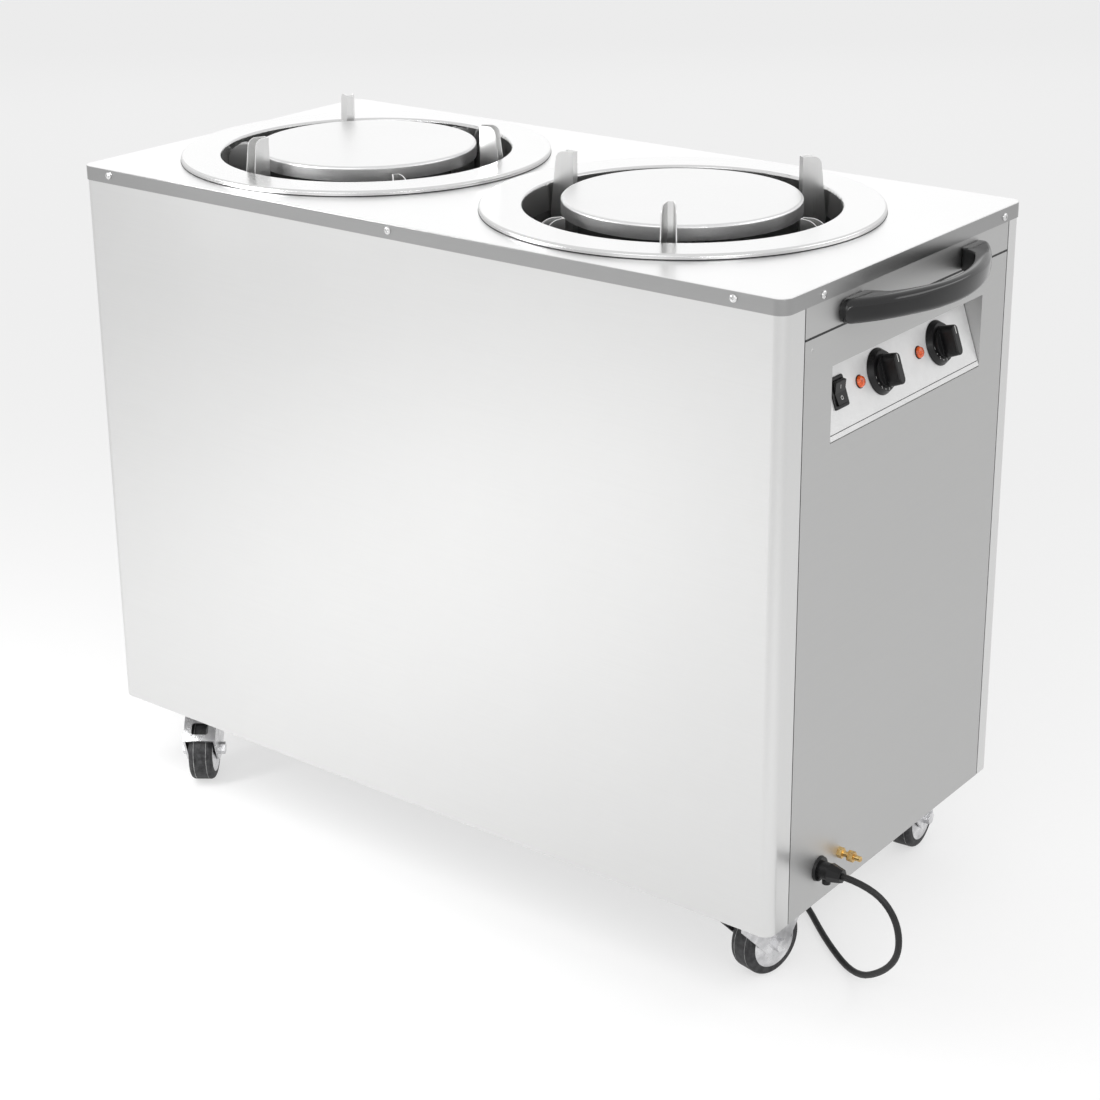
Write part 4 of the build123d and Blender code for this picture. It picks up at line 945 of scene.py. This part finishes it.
@dataclass
class Cabinet:
    """Sheet-metal cabinet: panels, cap and its screws."""

    shop: Workshop
    scatter: PointScatter
    layout: Layout
    front_screws: tuple[float, ...] = (-421.0, -7.0, 410.0)
    end_screws: tuple[float, ...] = (-165.0, 189.0)
    front_screw_z: float = 753.0
    end_screw_z: float = 750.6
    rivet_y: float = -180.0
    rivet_z: float = 700.0
    rivet_outline: tuple[tuple[float, float], ...] = (
        (0, 0), (2.4, 0), (2.0, 0.35), (1.0, 0.5), (0, 0.55),
    )
    seam_z: float = 712.5
    seam_line: float = 2.2
    seam_depth: float = 0.5
    panel_width: float = 394.0

    def build(self) -> None:
        """Dress the panels and set the cap screws."""
        palette = self.shop.palette
        self.shop.dress(palette.front, "front_panel", "rear_panel")
        self.shop.dress(
            palette.side, "left_side_panel", "right_side_panel", "right_upper_strip",
            "control_recess", "base_pan",
        )
        self.shop.dress(palette.cap, "top_cap")
        self.cap_screws()
        self.seam_shadow()
        self.panel_rivet()

    def seam_shadow(self) -> None:
        """Dark strip in the seam between the side panel and the upper strip: painted shadow in the
        gap.
        """
        layout = self.layout
        line = Workshop.block((self.seam_depth, self.panel_width, self.seam_line), 0.1, 1)
        place = moved(layout.right_x, layout.panel_mid_y, self.seam_z)
        piece = self.shop.from_bmesh("seam_line", line, self.shop.palette.satin_black, place)
        self.shop.fit(piece, "cabinet", "black_matt")

    def panel_rivet(self) -> None:
        """Low flush rivet near the side panel's front edge."""
        rivet = self.scatter.scatter(
            "panel_rivet",
            Workshop.lathe(self.rivet_outline, 20),
            [((self.layout.right_x, self.rivet_y, self.rivet_z), (1, 0, 0))],
            self.shop.palette.side,
        )
        self.shop.fit(rivet, "cabinet", "stainless_panel")

    def cap_screws(self) -> None:
        """Screws that hold the cap's skirt."""
        layout = self.layout
        skirt_y = layout.body_depth / 2 + layout.sheet
        skirt_x = layout.body_length / 2 + layout.sheet
        spots = [
            ((layout.cabinet_x + x, side * skirt_y, self.front_screw_z), (0, side, 0))
            for x in self.front_screws
            for side in (-1, 1)
        ]
        spots += [
            ((layout.cabinet_x + side * skirt_x, y, self.end_screw_z), (side, 0, 0))
            for y in self.end_screws
            for side in (-1, 1)
        ]
        screws = self.scatter.scatter(
            "cap_screws", PanHead().shape(), spots, self.shop.palette.bright_zinc
        )
        self.shop.fit(screws, "cabinet", "caster_zinc")


@dataclass
class Wells:
    """The two plate wells with their rings, liners, guides and platforms."""

    shop: Workshop
    layout: Layout
    numbers: tuple[int, int] = (1, 2)
    # Sizes of the dark ring painted at each ring's foot as contact shadow.
    shadow_inset: float = 1.0
    shadow_slope: float = 0.1
    shadow_reach: float = 0.5
    shadow_rise: float = 0.9
    fin_middle: float = 600.0
    fin_rise: float = 9.0
    fin_merge: float = 1e-3

    def build(self) -> None:
        """Dress every part of both wells."""
        palette = self.shop.palette
        for number in self.numbers:
            prefix = f"well_{number}_"
            self.shop.dress(palette.ring, prefix + "ring")
            self.shop.dress(palette.liner, prefix + "liner", prefix + "dish")
            self.shop.dress(palette.guide, prefix + "plate_guides")
            self.shop.dress(palette.platform, prefix + "platform")
            self.shop.dress(palette.zinc, prefix + "carriage", prefix + "spring_hangers")
            self.shop.dress(palette.spring, prefix + "lifting_springs")
            self.shop.dress(palette.heater, prefix + "heater")
            # Dark ring at the ring's foot: painted contact shadow.
            self.paint_contact_shadow(number)
            self.tall_fins(number)

    def tall_fins(self, number: int) -> None:
        """Rail fins whose rounded tops stand level with the ring.

        Args:
            number: which well.
        """
        node = f"well_{number}_rail_fins"
        shape = bmesh.new()
        shape.from_mesh(self.shop.frame["nodes"][node].data)
        shape.transform(Matrix.Scale(1 / MM, 4))
        bmesh.ops.remove_doubles(shape, verts=shape.verts, dist=self.fin_merge)
        for corner in shape.verts:
            if corner.co.z > self.fin_middle:
                corner.co.z += self.fin_rise
        piece = self.shop.from_bmesh(f"well_{number}_tall_fins", shape, self.shop.palette.guide)
        self.shop.fit(piece, "cabinet", "stainless_guide", (node,))

    def paint_contact_shadow(self, number: int) -> None:
        """Thin dark ring where a ring stands on the cap: painted contact shadow.

        Args:
            number: which well.
        """
        low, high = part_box(f"well_{number}_ring")
        centre = (Vector(low) + Vector(high)) / 2
        outer = (high[0] - low[0]) / 2 / MM
        inner = outer - self.shadow_inset
        line = [(inner, 0), (outer + self.shadow_reach, 0)]
        line += [(outer + self.shadow_slope, self.shadow_rise), (inner, self.shadow_rise), (inner, 0)]
        place = Matrix.Translation((centre.x, centre.y, self.layout.cap_top * MM))
        piece = self.shop.from_bmesh(
            f"well_{number}_joint_line",
            Workshop.lathe(line, 128),
            self.shop.palette.satin_black,
            place,
        )
        self.shop.fit(piece, "cabinet", "black_matt")


@dataclass
class Controls:
    """Fascia with its rule, switch, pilot lamps and numbered knobs."""

    shop: Workshop
    layout: Layout
    rule_up: float = 6.5
    rule_width: float = 0.8
    rule_margin: float = 2.0
    figure_radius: float = 18.2
    figure_height: float = 3.6
    dot_radius: float = 0.6
    dot_rise: float = 0.12
    grip_line: tuple[float, float, float] = (0.9, 8.0, 0.12)
    grip_line_up: float = 10.5
    grip_line_out: float = 23.55
    skirt_top: float = 6.04
    figures: tuple[str, ...] = ("1", "2", "3", "4", "5")
    first_angle: float = 188.0
    figure_step: float = 40.0
    rocker_tilt: float = 8.0
    rocker_rise: float = 5.5
    rocker_valley: float = 2.6
    rocker_half: float = 10.83
    mark_height: float = 5.6
    mark_gap: float = 0.06
    rib_width: float = 1.2
    rib_length: float = 22.0
    rib_depth: float = 1.6
    rib_round: float = 0.4
    rib_out: float = 10.2
    rib_up: float = 9.6
    lamp_radius: float = 6.8
    lens_radius: float = 6.0
    barrel_radius: float = 4.6
    barrel_top: float = 0.1
    lamp_depth: float = 16.0
    lens_seat: float = 0.6
    lens_wall: float = 1.6
    lens_rise: float = 4.6
    lens_facets: tuple[tuple[float, float], ...] = ((0.82, 0.7), (0.4, 0.95), (0.0, 1.0))
    lens_angle: float = 12.0
    bezel_edge: float = 0.5
    bezel_top: float = 1.0
    bezel_lip: float = 0.3

    def build(self) -> None:
        """Dress and detail the controls."""
        palette = self.shop.palette
        self.shop.dress(palette.fascia, "control_fascia")
        self.shop.dress(palette.satin_black, "switch_frame", "switch_rocker")
        for number, place in enumerate(self.layout.lamp_places, start=1):
            self.pilot_lamp(number, place)
        self.shop.dress(palette.satin_black, "temperature_knob_1", "temperature_knob_2")
        self.shop.dress(palette.satin_black, "thermostat_1", "thermostat_2")
        self.fascia_rule()
        self.switch_marks()
        for number, place in enumerate(self.layout.knob_places, start=1):
            self.knob_marks(number, place)

    def pilot_lamp(self, number: int, place: float) -> None:
        """Pilot lamp with a cut lens in a dark bezel.

        Args:
            number: which lamp.
            place: its distance along the fascia in millimetres.
        """
        layout = self.layout
        base = layout.fascia_frame(place, layout.control_line, layout.fascia_sheet)
        lens, barrel, seat = self.lens_radius, self.barrel_radius, self.lens_seat
        jewel = [(0, -self.lamp_depth), (barrel, -self.lamp_depth), (barrel, self.barrel_top)]
        jewel += [(lens, self.barrel_top), (lens, self.lens_wall)]
        jewel += [(lens * out, seat + self.lens_rise * up) for out, up in self.lens_facets]
        bezel = [(lens, 0), (self.lamp_radius, 0), (self.lamp_radius, self.bezel_edge)]
        bezel += [(lens + self.bezel_lip, self.bezel_top), (lens, seat), (lens, 0)]
        make, palette = self.shop.from_bmesh, self.shop.palette
        cut_lens = Workshop.lathe(jewel, 12)
        parts = [
            make(f"lens_{number}", cut_lens, palette.amber, base, self.lens_angle),
            make(f"bezel_{number}", Workshop.lathe(bezel, 32), palette.satin_black, base),
        ]
        piece = self.shop.join(f"cut_lamp_{number}", parts)
        self.shop.fit(piece, "cabinet", "amber_lens", (f"pilot_lamp_{number}",))

    def fascia_rule(self) -> None:
        """Thin printed line near the fascia's lower edge."""
        layout = self.layout
        length = layout.opening_width - 2 * self.rule_margin
        place = layout.fascia_frame(
            layout.opening_width / 2, self.rule_up, layout.fascia_sheet + INK
        )
        strip = Workshop.block((length, self.rule_width, 2 * INK))
        rule = self.shop.from_bmesh("fascia_rule", strip, self.shop.palette.black_print, place)
        self.shop.fit(rule, "cabinet", "black_matt")

    def switch_marks(self) -> None:
        """The I and O on the two halves of the rocker."""
        layout = self.layout
        tilt = Matrix.Rotation(math.radians(self.rocker_tilt), 4, "X")
        base = layout.fascia_frame(layout.switch_place, layout.control_line, layout.fascia_sheet)
        slope = math.atan2(self.rocker_rise - self.rocker_valley, self.rocker_half)
        middle = (self.rocker_rise + self.rocker_valley) / 2 + self.mark_gap
        white = self.shop.palette.white_print
        parts = []
        for label, side in (("I", 1), ("O", -1)):
            lean = Matrix.Rotation(side * slope, 4, "X")
            place = base @ tilt @ moved(0, side * self.rocker_half / 2, middle) @ lean
            name = f"switch_mark_{label}"
            parts.append(self.shop.lettering(name, label, self.mark_height, place, white))
        marks = self.shop.join("switch_marks", parts)
        self.shop.fit(marks, "rocker", "black_gloss")

    def knob_marks(self, number: int, place: float) -> None:
        """Figures and dots on a knob's skirt and a line on its grip.

        Args:
            number: which knob.
            place: its distance along the fascia in millimetres.
        """
        layout = self.layout
        palette = self.shop.palette
        make = self.shop.from_bmesh
        base = layout.fascia_frame(place, layout.control_line, layout.fascia_sheet)
        parts = []
        for index in range(2 * len(self.figures) - 1):
            angle = math.radians(self.first_angle + index * self.figure_step / 2)
            spoke = Matrix.Rotation(angle, 4, "Z")
            spot = base @ spoke @ moved(self.figure_radius, 0, self.skirt_top)
            if index % 2 == 0:
                name = f"knob_{number}_figure_{index}"
                figure = self.figures[index // 2]
                upright = spot @ Matrix.Rotation(-angle, 4, "Z")
                white = palette.white_print
                parts.append(self.shop.lettering(name, figure, self.figure_height, upright, white))
            else:
                dot = Workshop.lathe([(0, 0), (self.dot_radius, 0), (0, self.dot_rise)], 12)
                parts.append(make(f"knob_{number}_dot_{index}", dot, palette.white_print, spot))
        for side in (-1, 1):
            rib = Workshop.block((self.rib_width, self.rib_length, self.rib_depth), self.rib_round)
            spot = base @ moved(side * self.rib_out, 0, self.rib_up)
            parts.append(make(f"knob_{number}_rib_{side + 1}", rib, palette.satin_black, spot))
        line = Workshop.block(self.grip_line)
        spot = base @ moved(0, self.grip_line_up, self.grip_line_out)
        parts.append(make(f"knob_{number}_line", line, palette.white_print, spot))
        piece = self.shop.join(f"knob_{number}_marks", parts)
        self.shop.fit(piece, f"knob_{number}", "black_gloss")


@dataclass
class Handle:
    """The moulded push handle: a crowned bow that runs out into two broad feet."""

    shop: Workshop
    layout: Layout
    half_length: float = 139.0
    reach: float = 55.0
    end_reach: float = 8.0
    inner_reach: float = 45.0
    haunch: float = 22.0
    haunch_place: float = 82.0
    foot_place: float = 97.0
    half_height: float = 12.0
    end_round: float = 10.0
    front_round: float = 7.5
    back_round: float = 2.5
    centre_z: float = 726.0
    corner_steps: int = 6

    @staticmethod
    def arc(place: float, half_chord: float, edge: float, crown: float) -> float:
        """Height of an arc over its chord's line.

        Args:
            place: distance from the middle.
            half_chord: distance at which the arc meets its edge height.
            edge: height at that distance.
            crown: height in the middle.

        Returns:
            The arc's height at the place.
        """
        rise = crown - edge
        radius = (half_chord**2 + rise**2) / (2 * rise)
        return crown - radius + math.sqrt(radius**2 - place**2)

    def outer(self, place: float) -> float:
        """Reach of the front face at a place along the handle."""
        return self.arc(place, self.half_length, self.end_reach, self.reach)

    def inner(self, place: float) -> float:
        """Reach of the back face at a place along the handle."""
        away = abs(place)
        if away <= self.haunch_place:
            return self.arc(away, self.haunch_place, self.haunch, self.inner_reach)
        share = min((away - self.haunch_place) / (self.foot_place - self.haunch_place), 1.0)
        return self.haunch * (1 - share * share * (3 - 2 * share))

    def half_rise(self, place: float) -> float:
        """Half of the height at a place along the handle, rounded off at the ends."""
        into_end = max(abs(place) - (self.half_length - self.end_round), 0.0) / self.end_round
        flat = self.half_height - self.end_round
        return flat + self.end_round * math.sqrt(max(1 - into_end * into_end, 0.0))

    def section(self, place: float) -> list[tuple[float, float, float]]:
        """Rounded outline at a place along the handle."""
        outer, inner, rise = self.outer(place), self.inner(place), self.half_rise(place)
        front = min(self.front_round, (outer - inner) / 2, rise)
        back = min(self.back_round, (outer - inner) / 3, rise)
        corners = (
            (outer - front, rise - front, front, 90),
            (outer - front, front - rise, front, 0),
            (inner + back, back - rise, back, -90),
            (inner + back, rise - back, back, -180),
        )
        points = []
        for x, z, radius, start in corners:
            for step in range(self.corner_steps + 1):
                angle = math.radians(start - 90 * step / self.corner_steps)
                points.append(
                    (
                        self.layout.right_x + x + radius * math.cos(angle),
                        self.layout.panel_mid_y + place,
                        self.centre_z + z + radius * math.sin(angle),
                    )
                )
        return points

    def places(self) -> list[float]:
        """Places of the sections along the handle, close together where it turns."""
        straight = self.half_length - self.end_round
        spots = {straight * step / 20 for step in range(21)}
        spots |= {self.haunch_place + 2.5 * step for step in range(7)}
        spots |= {
            straight + self.end_round * math.sin(math.radians(10 * step)) for step in range(10)
        }
        one_side = sorted(spots)
        return [-spot for spot in reversed(one_side) if spot > 0] + one_side

    def build(self) -> None:
        """Skin the sections and fit the handle."""
        shape = bmesh.new()
        rings = [[shape.verts.new(p) for p in self.section(place)] for place in self.places()]
        count = len(rings[0])
        for ring, after in zip(rings, rings[1:]):
            for step in range(count):
                turn = (step + 1) % count
                shape.faces.new((ring[step], ring[turn], after[turn], after[step]))
        shape.faces.new(rings[0])
        shape.faces.new(rings[-1])
        handle = self.shop.from_bmesh(
            "moulded_handle", shape, self.shop.palette.gloss_black, smooth=50.0
        )
        self.shop.fit(handle, "cabinet", "black_gloss", ("push_handle",))


@dataclass
class SupplySide:
    """Cord gland, bonding terminal, supply cord and plug."""

    shop: Workshop
    layout: Layout
    cord_radius: float = 3.5
    floor_gap: float = 0.3
    coil_gap: float = 0.6
    coil_x: float = -40.0
    coil_y: float = 300.0
    coil_radius: float = 48.8
    turns_in: float = 2.0
    climb: float = 0.5
    turns_out: float = 1.75
    points_a_turn: int = 16
    plug_radius: float = 18.5
    cord_length: float = 2.1
    fall: tuple[tuple[float, float, float], ...] = (
        (499, -137, 142),
        (527, -135, 116),
        (530, -130, 74),
        (507, -119, 38),
    )
    ground: tuple[tuple[float, float], ...] = (
        (462, -98),
        (402, -57),
        (338, 2),
        (262, 44),
        (180, 72),
        (106, 110),
        (52, 172),
    )

    @property
    def floor_z(self) -> float:
        """Height of the cord's centre where it lies on the floor."""
        return self.cord_radius + self.floor_gap

    @property
    def pitch(self) -> float:
        """Distance between neighbouring turns."""
        return 2 * self.cord_radius + self.coil_gap

    def coil_points(self) -> list[tuple[float, float, float]]:
        """Control points of the coil, in along the lower layer and out along the upper."""
        reverse = self.turns_in + self.climb / 2
        turns = self.turns_in + self.climb + self.turns_out
        count = round(turns * self.points_a_turn)
        swell = 1 / math.cos(math.pi / self.points_a_turn)
        points = []
        for index in range(1, count):
            turn = index / self.points_a_turn
            radius = self.coil_radius + self.pitch * (abs(turn - reverse) - reverse)
            share = min(max((turn - self.turns_in) / self.climb, 0.0), 1.0)
            z = self.floor_z + self.pitch * (1 - math.cos(math.pi * share)) / 2
            angle = 2 * math.pi * turn
            points.append(
                (
                    self.coil_x + radius * swell * math.cos(angle),
                    self.coil_y + radius * swell * math.sin(angle),
                    z,
                )
            )
        return points

    def route(self) -> list[tuple[float, float, float]]:
        """Control points of the whole cord, from the gland to the plug."""
        layout = self.layout
        start = (layout.right_x + layout.gland_length, layout.gland_y, layout.gland_z)
        in_x = self.coil_x + self.coil_radius
        out_y = self.coil_y + self.coil_radius - 0.25 * self.pitch
        top_z = self.floor_z + self.pitch
        plug_z = self.plug_radius + self.floor_gap
        end_x = self.coil_x - 2 * self.cord_radius
        points = [start, *self.fall]
        points += [(x, y, self.floor_z) for x, y in self.ground]
        points += [(in_x, self.coil_y - 60, self.floor_z), (in_x, self.coil_y, self.floor_z)]
        points += self.coil_points()
        points += [
            (end_x, out_y, top_z),
            (end_x - 42, out_y, top_z),
            (end_x - 90, out_y - 18, top_z + 2.6),
            (end_x - 136, out_y - 24, plug_z),
            (end_x - 176, out_y - 24, plug_z),
        ]
        return points

    def build(self) -> None:
        """Dress the fittings and lay the cord."""
        palette = self.shop.palette
        self.shop.dress(palette.satin_black, "cable_gland", "mains_plug")
        self.shop.dress(palette.brass, "bonding_terminal")
        curve = bpy.data.curves.new("supply_cord", "CURVE")
        curve.dimensions = "3D"
        curve.bevel_depth = self.cord_radius * MM
        curve.bevel_resolution = 4
        curve.use_fill_caps = True
        curve.resolution_u = 6
        spline = curve.splines.new("NURBS")
        points = self.route()
        spline.points.add(len(points) - 1)
        for target, spot in zip(spline.points, points):
            target.co = (*(Vector(spot) * MM), 1)
        spline.order_u = 3
        spline.use_endpoint_u = True
        cord = add_object("supply_cord", curve)
        curve.materials.append(palette.cord)
        self.shop.fit(
            cord, "cabinet", "cord_rubber", ("power_cord", "power_cord_coil", "power_cord_tail")
        )


@dataclass
class Casters:
    """The four swivel casters."""

    shop: Workshop
    layout: Layout
    wheel_radius: float = 37.5
    trail: float = 28.0
    inset_x: float = 70.0
    track_y: float = 161.0
    tyre_width: float = 28.0
    tyre_bore: float = 25.0
    shoulder: float = 5.0
    line_offset: float = 7.5
    groove: float = 0.5
    groove_mouth: float = 0.6
    groove_floor: float = 0.3
    line_half: float = 0.35
    line_foot: float = 0.6
    line_top: float = 0.12
    cover_outline: tuple[tuple[float, float], ...] = (
        (11.0, 2.2),
        (17.0, 2.0),
        (23.0, 0.7),
        (27.5, 0.5),
        (28.0, 0.1),
        (23.0, 0.1),
        (17.0, 1.4),
        (11.0, 1.6),
        (11.0, 2.2),
    )
    headings: dict[Corner, float] = field(
        default_factory=lambda: {
            Corner.FRONT_LEFT: -54.0,
            Corner.FRONT_RIGHT: 78.0,
            Corner.REAR_RIGHT: 96.0,
            Corner.REAR_LEFT: 152.0,
        }
    )

    def spot(self, corner: Corner) -> Vector:
        """Swivel axis of a caster on the floor, in millimetres."""
        right = corner in (Corner.FRONT_RIGHT, Corner.REAR_RIGHT)
        rear = corner in (Corner.REAR_RIGHT, Corner.REAR_LEFT)
        x = self.layout.right_x - self.inset_x if right else self.layout.left_x + self.inset_x
        return Vector((x, self.track_y if rear else -self.track_y, 0))

    def wheel_frame(self, corner: Corner) -> Matrix:
        """Wheel centre with Z along the axle, in metres."""
        heading = math.radians(self.headings[corner])
        ahead = Vector((math.cos(heading), math.sin(heading), 0))
        upward = Vector((0, 0, 1))
        centre = self.spot(corner) + ahead * self.trail + upward * self.wheel_radius
        return frame_matrix(centre * MM, ahead, upward, ahead.cross(upward))

    def build(self) -> None:
        """Dress each caster and fit its tyre."""
        palette = self.shop.palette
        for corner in Corner:
            name = corner.value
            self.shop.dress(palette.zinc, f"{name}_caster_plate", f"{name}_caster_fork")
            self.shop.dress(palette.wheel, f"{name}_wheel_hub")
            self.tyre(corner)
            self.covers(corner)

    def covers(self, corner: Corner) -> None:
        """Plated dust cover on each side of a wheel's centre.

        Args:
            corner: which caster.
        """
        half = self.tyre_width / 2
        parts = []
        for side in (-1, 1):
            dish = [(radius, side * (half + height)) for radius, height in self.cover_outline]
            name = f"{corner.value}_cover_{side + 1}"
            finish = self.shop.palette.zinc
            cover = Workshop.lathe(dish, 48)
            parts.append(self.shop.from_bmesh(name, cover, finish, self.wheel_frame(corner)))
        piece = self.shop.join(f"{corner.value}_dust_covers", parts)
        self.shop.fit(piece, f"{corner.value}_wheel", "caster_zinc")

    def tyre(self, corner: Corner) -> None:
        """Tyre with two mould lines round its tread.

        Args:
            corner: which caster.
        """
        half = self.tyre_width / 2
        outer = self.wheel_radius
        profile = [(self.tyre_bore, -half), (outer - self.shoulder, -half)]
        for step in range(1, 6):
            angle = math.pi / 2 * step / 5
            out = self.shoulder * math.sin(angle)
            across = self.shoulder * math.cos(angle)
            profile.append((outer - self.shoulder + out, -half + self.shoulder - across))
        line = self.line_offset
        profile += [(outer, -line - self.groove_mouth)]
        profile += [(outer - self.groove, -line - self.groove_floor)]
        profile += [(outer - self.groove, -line + self.groove_floor)]
        profile += [(outer, -line + self.groove_mouth)]
        mirrored = [(radius, -height) for radius, height in reversed(profile)]
        whole = profile + mirrored + [(self.tyre_bore, -half)]
        frame = self.wheel_frame(corner)
        make, palette = self.shop.from_bmesh, self.shop.palette
        tyre = Workshop.lathe(whole, 72)
        parts = [make(f"{corner.value}_tyre", tyre, palette.rubber, frame, smooth=40.0)]
        foot, top = outer - self.line_foot, outer - self.line_top
        for side in (-1, 1):
            low, high = side * line - self.line_half, side * line + self.line_half
            outline = [(foot, low), (top, low), (top, high), (foot, high), (foot, low)]
            ring = Workshop.lathe(outline, 72)
            parts.append(make(f"{corner.value}_line_{side + 1}", ring, palette.worn_rubber, frame))
        piece = self.shop.join(f"{corner.value}_ribbed_tyre", parts)
        self.shop.fit(
            piece, f"{corner.value}_wheel", "wheel_tyre", (f"{corner.value}_wheel_tyre",)
        )


@dataclass(frozen=True)
class Softbox:
    """A soft rectangular lamp, in metres and watts."""

    name: str
    spot: tuple[float, float, float]
    aim: tuple[float, float, float]
    size: tuple[float, float]
    power: float

    def hang(self) -> None:
        """Hang the lamp in the scene, facing its aim."""
        data = bpy.data.lights.new(self.name, "AREA")
        data.shape = "RECTANGLE"
        data.size, data.size_y = self.size
        data.energy = self.power
        made = add_object(self.name, data)
        made.location = self.spot
        direction = Vector(self.aim) - Vector(self.spot)
        made.rotation_euler = direction.to_track_quat("-Z", "Y").to_euler()


@dataclass
class Studio:
    """Camera, lamps, world and floor."""

    lens: float = 75.518
    shift_y: float = -0.1
    camera_spot: tuple[float, float, float] = (1.4851, -1.9161, 1.3371)
    yaw: float = 37.934
    pitch: float = 19.696
    roll: float = 0.567
    world_level: float = 0.62
    floor_tone: float = 0.94
    floor_glow: float = 0.6
    floor_reach: float = 30.0
    softboxes: tuple[Softbox, ...] = (
        Softbox("rear_softbox", (-2.9, 3.5, 2.1), (0, 0, 0.7), (3.8, 2.4), 10.0),
        Softbox("strip_softbox", (-0.74, -1.22, 0.85), (-0.725, -1.185, 0), (0.25, 1.8), 17.0),
        Softbox("corner_softbox", (1.2, -0.72, 0.9), (1.2, -0.71, 0), (0.5, 0.5), 6.0),
        Softbox("side_softbox", (1.15, 0.8, 1.2), (1.15, 0.83, 0), (0.5, 1.3), 4.0),
        Softbox("front_softbox", (0.9, -3.4, 2.4), (0, 0, 0.4), (2.0, 1.4), 11.0),
    )

    def build(self) -> None:
        """Set up everything that isn't part of the object."""
        self.camera()
        self.floor()
        self.world()
        for softbox in self.softboxes:
            softbox.hang()
        bpy.context.scene.view_settings.view_transform = "Standard"

    def camera(self) -> None:
        """Camera at the photograph's viewing angle."""
        data = bpy.data.cameras.new("camera")
        data.lens = self.lens
        data.sensor_width = 36.0
        data.shift_y = self.shift_y
        data.clip_end = 60.0
        yaw, pitch, roll = (math.radians(v) for v in (self.yaw, self.pitch, self.roll))
        forward = Vector(
            (
                -math.sin(yaw) * math.cos(pitch),
                math.cos(yaw) * math.cos(pitch),
                -math.sin(pitch),
            )
        )
        right = Vector((math.cos(yaw), math.sin(yaw), 0))
        down = forward.cross(right)
        row_x = math.cos(roll) * right + math.sin(roll) * down
        row_y = -math.sin(roll) * right + math.cos(roll) * down
        made = add_object("camera", data)
        made.matrix_world = frame_matrix(Vector(self.camera_spot), row_x, -row_y, -forward)
        bpy.context.scene.camera = made

    @staticmethod
    def background_rays(graph: Graph) -> bpy.types.NodeSocket:
        """Mask of the rays that show the background: camera, glossy and transmission rays.

        Args:
            graph: the graph of the floor's material or the world.

        Returns:
            A socket that is one for such a ray and zero for any other.
        """
        path = graph.node("ShaderNodeLightPath")
        seen = path.outputs["Is Camera Ray"]
        for kind in ("Is Glossy Ray", "Is Transmission Ray"):
            seen = graph.math("MAXIMUM", seen, path.outputs[kind])
        return seen

    def floor(self) -> None:
        """Plain pale floor, whiter to the camera and in the metal, with the object's shadow."""
        shape = bmesh.new()
        bmesh.ops.create_grid(shape, x_segments=1, y_segments=1, size=self.floor_reach)
        mesh = bpy.data.meshes.new("floor")
        shape.to_mesh(mesh)
        shape.free()
        material = bpy.data.materials.new("floor_paper")
        material.use_nodes = True
        graph = Graph(material.node_tree)
        paper = graph.node(
            "ShaderNodeBsdfPrincipled",
            {
                "Base Color": (*[self.floor_tone] * 3, 1),
                "Roughness": 0.9,
                "Specular IOR Level": 0.1,
            },
        )
        white = graph.node("ShaderNodeEmission", {"Color": (1, 1, 1, 1), "Strength": 1.0})
        share = graph.math("MULTIPLY", self.background_rays(graph), self.floor_glow)
        mix = graph.node("ShaderNodeMixShader")
        graph.join(share, mix.inputs[0])
        graph.join(paper.outputs[0], mix.inputs[1])
        graph.join(white.outputs[0], mix.inputs[2])
        output = graph.node("ShaderNodeOutputMaterial")
        graph.join(mix.outputs[0], output.inputs["Surface"])
        mesh.materials.append(material)
        add_object("floor", mesh)

    def world(self) -> None:
        """Even pale surroundings, white to the camera and in the metal."""
        world = bpy.data.worlds.new("studio")
        bpy.context.scene.world = world
        world.use_nodes = True
        graph = Graph(world.node_tree)
        back = graph.node("ShaderNodeBackground", {"Color": (1, 1, 1, 1)})
        seen = self.background_rays(graph)
        level = graph.math("MULTIPLY_ADD", seen, 1 - self.world_level, self.world_level)
        graph.join(level, back.inputs["Strength"])
        output = graph.node("ShaderNodeOutputWorld")
        graph.join(back.outputs[0], output.inputs["Surface"])


def main() -> None:
    """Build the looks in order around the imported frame."""
    logging.basicConfig(level=logging.INFO)
    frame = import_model()
    layout = Layout()
    Studio().build()
    shop = Workshop(frame, Palette())
    scatter = PointScatter(shop)
    SupplySide(shop, layout).build()
    Cabinet(shop, scatter, layout).build()
    Wells(shop, layout).build()
    Controls(shop, layout).build()
    Handle(shop, layout).build()
    Casters(shop, layout).build()


if __name__ == "__main__":
    main()
